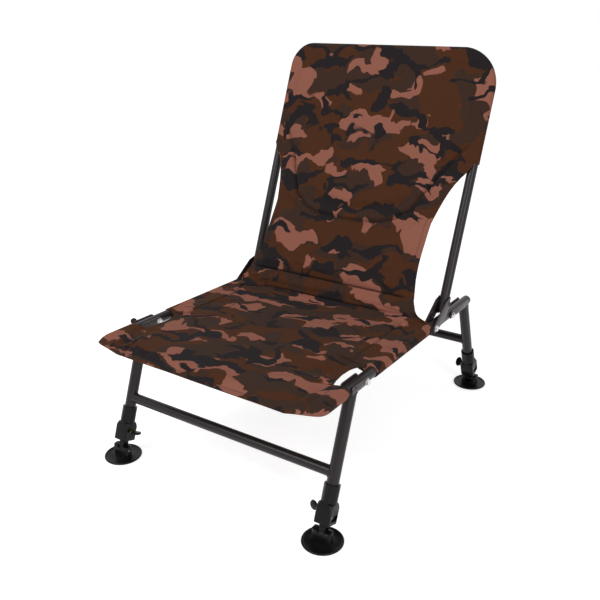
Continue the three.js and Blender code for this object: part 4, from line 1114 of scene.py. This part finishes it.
def lay_pattern(piece):
    """Gives a mesh the cloth's flat coordinates in metres, so that its print follows every bend.
    The face's cloth goes round the edges, and the back's is another piece of the same cloth."""
    over = over_top(rows_along)
    up_cloth = rows_along - over + SLEEVE_RADIUS * np.arcsin(over / SLEEVE_RADIUS)
    first_back = COLUMNS + EDGE_COLUMNS - 2
    past_back = first_back + BACK_COLUMNS
    steps = np.linalg.norm(np.diff(rings, axis=1, append=rings[:, :1]), axis=-1)
    run = np.cumsum(steps, axis=1) - steps
    across = run - run[:, COLUMNS // 2, None]
    across[:, past_back - 1 :] -= steps.sum(axis=1, keepdims=True)
    mesh = piece.data
    corner_points = np.empty(len(mesh.loops), int)
    mesh.loops.foreach_get("vertex_index", corner_points)
    row, column = np.divmod(corner_points, rings.shape[1])
    starts = np.empty(len(mesh.polygons), int)
    mesh.polygons.foreach_get("loop_start", starts)
    in_back = (column >= first_back) & (column < past_back)
    all_back = np.minimum.reduceat(in_back.astype(int), starts)
    all_back = np.repeat(all_back, np.diff(np.append(starts, len(corner_points)))) == 1
    u = np.where(all_back, rings[row, column, 0] + BACK_PRINT_AT, across[row, column])
    layer = mesh.uv_layers.new(name="flat_pattern")
    layer.data.foreach_set("uv", np.stack([u, up_cloth[row]], -1).ravel() * MM)


lay_pattern(cover)


def hood_hollow(name):
    """The space inside the hood: flat behind the pad, and round the tube at its sides."""
    clear = TUBE_RADIUS + 0.4
    crest = np.radians(np.linspace(0, 88, 7))
    over = np.concatenate([np.zeros(40), clear * np.sin(crest)])
    heights = np.concatenate([np.linspace(HOOD_SKIRT - 6, BACK_TOP, 40), np.full(7, BACK_TOP)]) + over
    shares, turns = np.linspace(-1, 1, 81), np.radians(np.linspace(80, -80, 9))
    rings = []
    for height, rise in zip(heights, over):
        row = height - hood_height(0)
        radius = math.sqrt(clear**2 - rise**2)
        reach = {side: float(wrap_half(row, side, clear)) - radius for side in (-1, 1)}
        x = shares * np.where(shares > 0, reach[1], reach[-1])
        from_tube = np.minimum(reach[1] - x, x + reach[-1])
        pad_back = over_path(x, row, row_level(row)[0] - HEM_THICK / 2 - 0.15)
        tube_front = placed(BACKREST, x, BACK_TUBE - radius, height)
        lean = smooth(1 - from_tube / 22)[:, None] if rise == 0 else 1
        sag = 1.4 * smooth(from_tube / 25) * (rise == 0)
        rear = placed(BACKREST, x, BACK_TUBE + radius - sag, height)
        rounds = {}
        for side in (-1, 1):
            out = side * (reach[side] + radius * np.cos(turns))
            rounds[side] = placed(BACKREST, out, BACK_TUBE - radius * np.sin(turns), height)
        front = pad_back + (tube_front - pad_back) * lean
        rings.append(np.concatenate([front, rounds[1], rear[::-1], rounds[-1][::-1]]))
    return raw_mesh(name, *skinned(rings))


for side in (-1, 1):
    for first, last in ((RAIL_FRONT - CAP_DOME - 0.4, 80), (150, 450)):
        room = rod("rail_room", TUBE_RADIUS + 0.35, first, last)
        carve(cover, moved(room, SEAT @ shift(side * RAIL_SIDE) @ ALONG_Y), solver="MANIFOLD")
carve(cover, hood_hollow("hollow"), solver="MANIFOLD")

# Woodland print on 600-denier polyester, an oxford weave: a matt cloth with a faint sheen. Four
# inks lie one on another in blobs 40 to 100 mm long with wavy outlines, black branches on top.
# The weave's 0.6 mm threads show close up, and as a fine fleck in the colour from further away.
cloth_looks = {"Roughness": 0.88, "IOR": 1.46, "Specular_IOR_Level": 0.08}
cloth_looks |= {"Sheen_Weight": 0.02, "Sheen_Roughness": 0.5}
printed_polyester, cloth_shader = new_material("printed_polyester", **cloth_looks)


def cloth_node(kind, settings=None, links=None, output=0):
    return add_node(printed_polyester, kind, settings, links, output)


flat = cloth_node("UVMap", {"uv_map": "flat_pattern"})


def warped(vector, size, reach, place):
    """Coordinates pushed about by noise of one size, up to a reach, both in millimetres."""
    at = cloth_node("VectorMath", {"operation": "ADD", 1: place}, {0: vector})
    noise = cloth_node("TexNoise", {"Scale": 1 / (size * MM), "Detail": 0.0}, {"Vector": at}, "Color")
    centred = cloth_node("VectorMath", {"operation": "SUBTRACT", 1: (0.5, 0.5, 0.5)}, {0: noise})
    push = {"operation": "MULTIPLY_ADD", 1: (2 * reach * MM,) * 3}
    return cloth_node("VectorMath", push, {0: centred, 2: vector})


outline = warped(warped(flat, 40, 23, (9.1, 6.4, 0)), 13, 6.5, (0.7, 9.2, 0))


def blotches(size, stretch, place, edge, branch=False):
    """A mask of blobs, or of branches where the noise passes its middle, with crisp edges."""
    scale = (1 / (size * stretch * MM), 1 / (size * MM), 1)
    laid = cloth_node("Mapping", {"Location": place, "Scale": scale}, {"Vector": outline})
    value = cloth_node("TexNoise", {"Scale": 1.0, "Detail": 1.0, "Roughness": 0.45}, {"Vector": laid})
    blur = 0.004
    if branch:
        off_middle = cloth_node("Math", {"operation": "SUBTRACT", 1: 0.5}, {0: value})
        value, blur = cloth_node("Math", {"operation": "ABSOLUTE"}, {0: off_middle}), -blur
    return cloth_node("MapRange", {"From Min": edge - blur, "From Max": edge + blur}, {"Value": value})


ground = cloth_node("RGB")
ground.default_value = linear("#492b1a")
branches = blotches(64, 1.6, (54.2, 17.9, 0), 0.048, branch=True)
branch_zone = blotches(90, 1.3, (22.2, 47.5, 0), 0.52)
inks = (
    ("#3b2a22", blotches(60, 1.5, (7.9, 16.5, 0), 0.505)),
    ("#8d5a4b", blotches(54, 1.7, (41.7, 22.6, 0), 0.558)),
    ("#241f20", blotches(46, 2.0, (38.3, 35.2, 0), 0.605)),
    ("#241f20", cloth_node("Math", {"operation": "MULTIPLY"}, {0: branches, 1: branch_zone})),
)
printed = ground
for ink, mask in inks:
    printed = cloth_node("Mix", {"data_type": "RGBA", 7: linear(ink)}, {0: mask, 6: printed}, output=2)

THREAD_WIDTH = 0.6
wave_scale = math.pi / (20 * THREAD_WIDTH * MM)  # a wave texture turns by 20 radians per unit
threads = []
for direction in ("X", "Y"):
    wave = {"bands_direction": direction, "Scale": wave_scale, "Distortion": 0.4, "Detail": 1.0}
    threads.append(cloth_node("TexWave", wave, {"Vector": flat}, "Fac"))
weave = cloth_node("Math", {"operation": "ADD"}, {0: threads[0], 1: threads[1]})
fleck = cloth_node("TexNoise", {"Scale": 1 / (1.4 * MM), "Detail": 2.0}, {"Vector": flat})
fleck_range = {"From Min": 0.3, "From Max": 0.7, "To Min": 0.9, "To Max": 1.1}
fleck_level = cloth_node("MapRange", fleck_range, {"Value": fleck})
flecked = cloth_node("VectorMath", {"operation": "SCALE"}, {0: printed, "Scale": fleck_level})
connect(printed_polyester, flecked, cloth_shader, "Base Color")
roughen(printed_polyester, cloth_shader, weave, 0.35, 0.12)

FOLD_LEAN = math.radians(25)
FOLD_FROM, FOLD_TO = 24.0, 64.0  # heights over the path's lower break; finish_cloth works out places there, which nothing uses


def finish_cloth(piece, material):
    """Puts a piece of the cover in metres, with its material and shading."""
    surfaced(moved(piece, Matrix.Scale(MM, 4)), material, crisp=50)
    for reach in (FOLD_FROM, FOLD_TO):
        back, up = reach * math.sin(FOLD_LEAN), reach * math.cos(FOLD_LEAN)
        tuple(placed(SEAT, 0, SEAT_BREAK + back, up) * MM)
    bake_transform(piece)


finish_cloth(cover, printed_polyester)
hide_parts("seat_cover", "lumbar_cover", "back_cover")

# Stitching
# Polyester thread, 1 mm thick, sewn 4 mm to a stitch through cloth and wadding along the pockets,
# the sleeves, the creases, the head pad's seam and every hem.

STITCH_PITCH, STITCH_LENGTH, THREAD_RADIUS = 4.0, 3.0, 0.5
HEM_INSET = 9.0
# Rings of a stitch: their share of its length, their height over the cloth and their thickness
STITCH_RINGS = ((0, -0.35, 0.5), (0.2, 0.12, 0.9), (0.5, 0.22, 1), (0.8, 0.12, 0.9), (1, -0.35, 0.5))
STITCH_SIDES = 6

# Spun polyester thread, dyed brown-black: matt, its twist too fine to show.
polyester_thread, thread_shader = new_material("polyester_thread", Roughness=0.7, IOR=1.5)
thread_cloud = piece_noise(polyester_thread, 3, 1.0)
tint(polyester_thread, thread_shader, linear("#0d0a09"), linear("#1b1412"), thread_cloud)


def on_cloth(part, x_share, along):
    """Places on a face or back of the cover, by their share of its half width and row."""
    rows, columns = part.shape[:2]
    r = np.clip(np.interp(along, rows_along, np.arange(rows)), 0, rows - 1.001)
    c = np.clip((x_share + 1) / 2 * (columns - 1), 0, columns - 1.001)
    i, j = r.astype(int), c.astype(int)
    return between(part, i, j, (r - i)[:, None], (c - j)[:, None])


def sewn_line(line, part=face):
    """Ends of the stitches along a line of places on the cloth, and the way out of the cloth there."""
    line = np.array(line, float)
    lengths = np.concatenate([[0], np.cumsum(np.linalg.norm(np.diff(line, axis=0), axis=1))])
    starts = np.arange(1.0, lengths[-1] - STITCH_LENGTH, STITCH_PITCH)
    places = []
    for run in (starts, starts + STITCH_LENGTH):
        x, along = np.interp(run, lengths, line[:, 0]), np.interp(run, lengths, line[:, 1])
        right_half = np.interp(along, rows_along, part[:, -1, 0])
        left_half = -np.interp(along, rows_along, part[:, 0, 0])
        half = np.where(x > 0, right_half, left_half)
        x = np.clip(x, 3 - left_half, right_half - 3)
        spots = [on_cloth(part, (x + dx) / half, along + dl) for dx, dl in ((0, 0), (1.5, 0), (0, 1.5))]
        out = np.cross(spots[1] - spots[0], spots[2] - spots[0])
        places.append((spots[0], out / np.linalg.norm(out, axis=1, keepdims=True)))
    return places


def stitches(name, lines):
    """All the stitches of some lines as one mesh of short bent rods."""
    start, out = (np.concatenate([first[k] for first, _ in lines]) for k in (0, 1))
    run = np.concatenate([last[0] for _, last in lines]) - start
    side = np.cross(run / np.linalg.norm(run, axis=1, keepdims=True), out)
    points = []
    for share, rise, size in STITCH_RINGS:
        middle = start + run * share + out * rise
        ring = [middle + THREAD_RADIUS * size * (side * c + out * s) for c, s in circle(STITCH_SIDES)]
        points.append(np.stack(ring, axis=1))
    points = np.stack(points, axis=1)
    _, rod_faces = skinned(points[0])
    rod_size = len(STITCH_RINGS) * STITCH_SIDES
    faces = [tuple(v + rod_size * k for v in f) for k in range(len(start)) for f in rod_faces]
    return raw_mesh(name, points.reshape(-1, 3), faces)


lines = [sewn_line(line) for line in SEAT_SEAMS]
for side in (-1, 1):
    lines.append(sewn_line([(side * x, along) for x, along in HEAD_SEAM]))
    for first, last in ((POCKET_END + 2, SLEEVE_START - 2), (412, SKIRT_AT - 3)):
        hem = np.arange(first, last, 5.0)
        lines.append(sewn_line([(side * (edge_half(along, side) - HEM_INSET), along) for along in hem]))
lines.append(sewn_line([(-165, SEAT_FRONT + HEM_INSET), (190, SEAT_FRONT + HEM_INSET)]))
lines.append(sewn_line([(-190, UPPER_CREASE), (190, UPPER_CREASE)]))
lines.append(sewn_line([(-195, LOWER_CREASE), (CREASE_END, LOWER_CREASE)]))
lines.append(sewn_line([(222, SKIRT_AT + 8), (-222, SKIRT_AT + 8)], part=back[:, ::-1]))
finish_cloth(stitches("cover_stitching", lines), polyester_thread)

# Studio
# A pale floor and soft light from the front, above and both sides, as for a catalogue picture.

FLOOR_GLOW = 0.64
SKY_LIGHT, SKY_SEEN = 0.46, 1.0  # the backdrop's brightness on the chair and for the camera


def seen_directly(material):
    """1 for what the camera sees, also in a reflection or through glass, and 0 for the light that
    falls on things."""
    kinds = ("Camera", "Glossy", "Transmission")
    seen, mirrored, through = (add_node(material, "LightPath", output=f"Is {kind} Ray") for kind in kinds)
    indirect = add_node(material, "Math", {"operation": "MAXIMUM"}, {0: mirrored, 1: through})
    return add_node(material, "Math", {"operation": "MAXIMUM"}, {0: seen, 1: indirect})


floor_mesh = bpy.data.meshes.new("studio_floor")
floor_mesh.from_pydata([(-6, -6, 0), (6, -6, 0), (6, 9, 0), (-6, 9, 0)], [], [(0, 1, 2, 3)])
floor = bpy.data.objects.new("studio_floor", floor_mesh)
floor.location.z = -0.0005
bpy.context.scene.collection.objects.link(floor)
# Matt white card. The camera sees it brighter than it lights the chair, so that it stays white.
studio_white, floor_shader = new_material("studio_white", Roughness=0.9, Base_Color=linear("#f0f0f0"))
floor_shader.inputs["Emission Color"].default_value = (1, 1, 1, 1)
floor_seen = seen_directly(studio_white)
floor_glow = add_node(studio_white, "Math", {"operation": "MULTIPLY", 1: FLOOR_GLOW}, {0: floor_seen})
connect(studio_white, floor_glow, floor_shader, "Emission Strength")
floor_mesh.materials.append(studio_white)

world = bpy.data.worlds.new("studio")
bpy.context.scene.world = world
world.use_nodes = True
sky = world.node_tree.nodes["Background"]
sky.inputs["Color"].default_value = (1, 1, 1, 1)
sky_range = {"To Min": SKY_LIGHT, "To Max": SKY_SEEN}
connect(world, add_node(world, "MapRange", sky_range, {"Value": seen_directly(world)}), sky, "Strength")


def soft_box(name, place, aim, size, watts):
    light = bpy.data.lights.new(name, "AREA")
    light.shape, light.size, light.size_y, light.energy = "RECTANGLE", size[0], size[1], watts
    lamp = bpy.data.objects.new(name, light)
    lamp.location = place
    lamp.rotation_mode = "QUATERNION"
    lamp.rotation_quaternion = (Vector(aim) - Vector(place)).to_track_quat("-Z", "Y")
    bpy.context.scene.collection.objects.link(lamp)


soft_box("key_box", (-0.8, -2.0, 2.3), (0, 0, 0.4), (1.2, 1.2), 33)
soft_box("right_box", (2.3, -1.4, 1.3), (0, 0, 0.35), (0.8, 1.6), 22)

# The camera's place, turn and lens were solved from the chair's lines in the photo.
CAMERA_AT = (0.769976, (CHAIR_SHIFT - 865.129) * MM, 0.857796)
camera_right = Vector((0.83535, 0.54969, -0.005235)).normalized()
camera_up = Vector((-0.201556, 0.315131, 0.927398)).normalized()
camera_axes = Matrix((camera_right, camera_up, camera_right.cross(camera_up))).transposed()
camera = bpy.data.objects.new("camera", bpy.data.cameras.new("camera"))
camera.matrix_world = shift(*CAMERA_AT) @ camera_axes.to_4x4()
camera.data.lens, camera.data.sensor_width = 44.0777, 36
bpy.context.scene.collection.objects.link(camera)
bpy.context.scene.camera = camera

bpy.context.scene.view_settings.view_transform = "Standard"
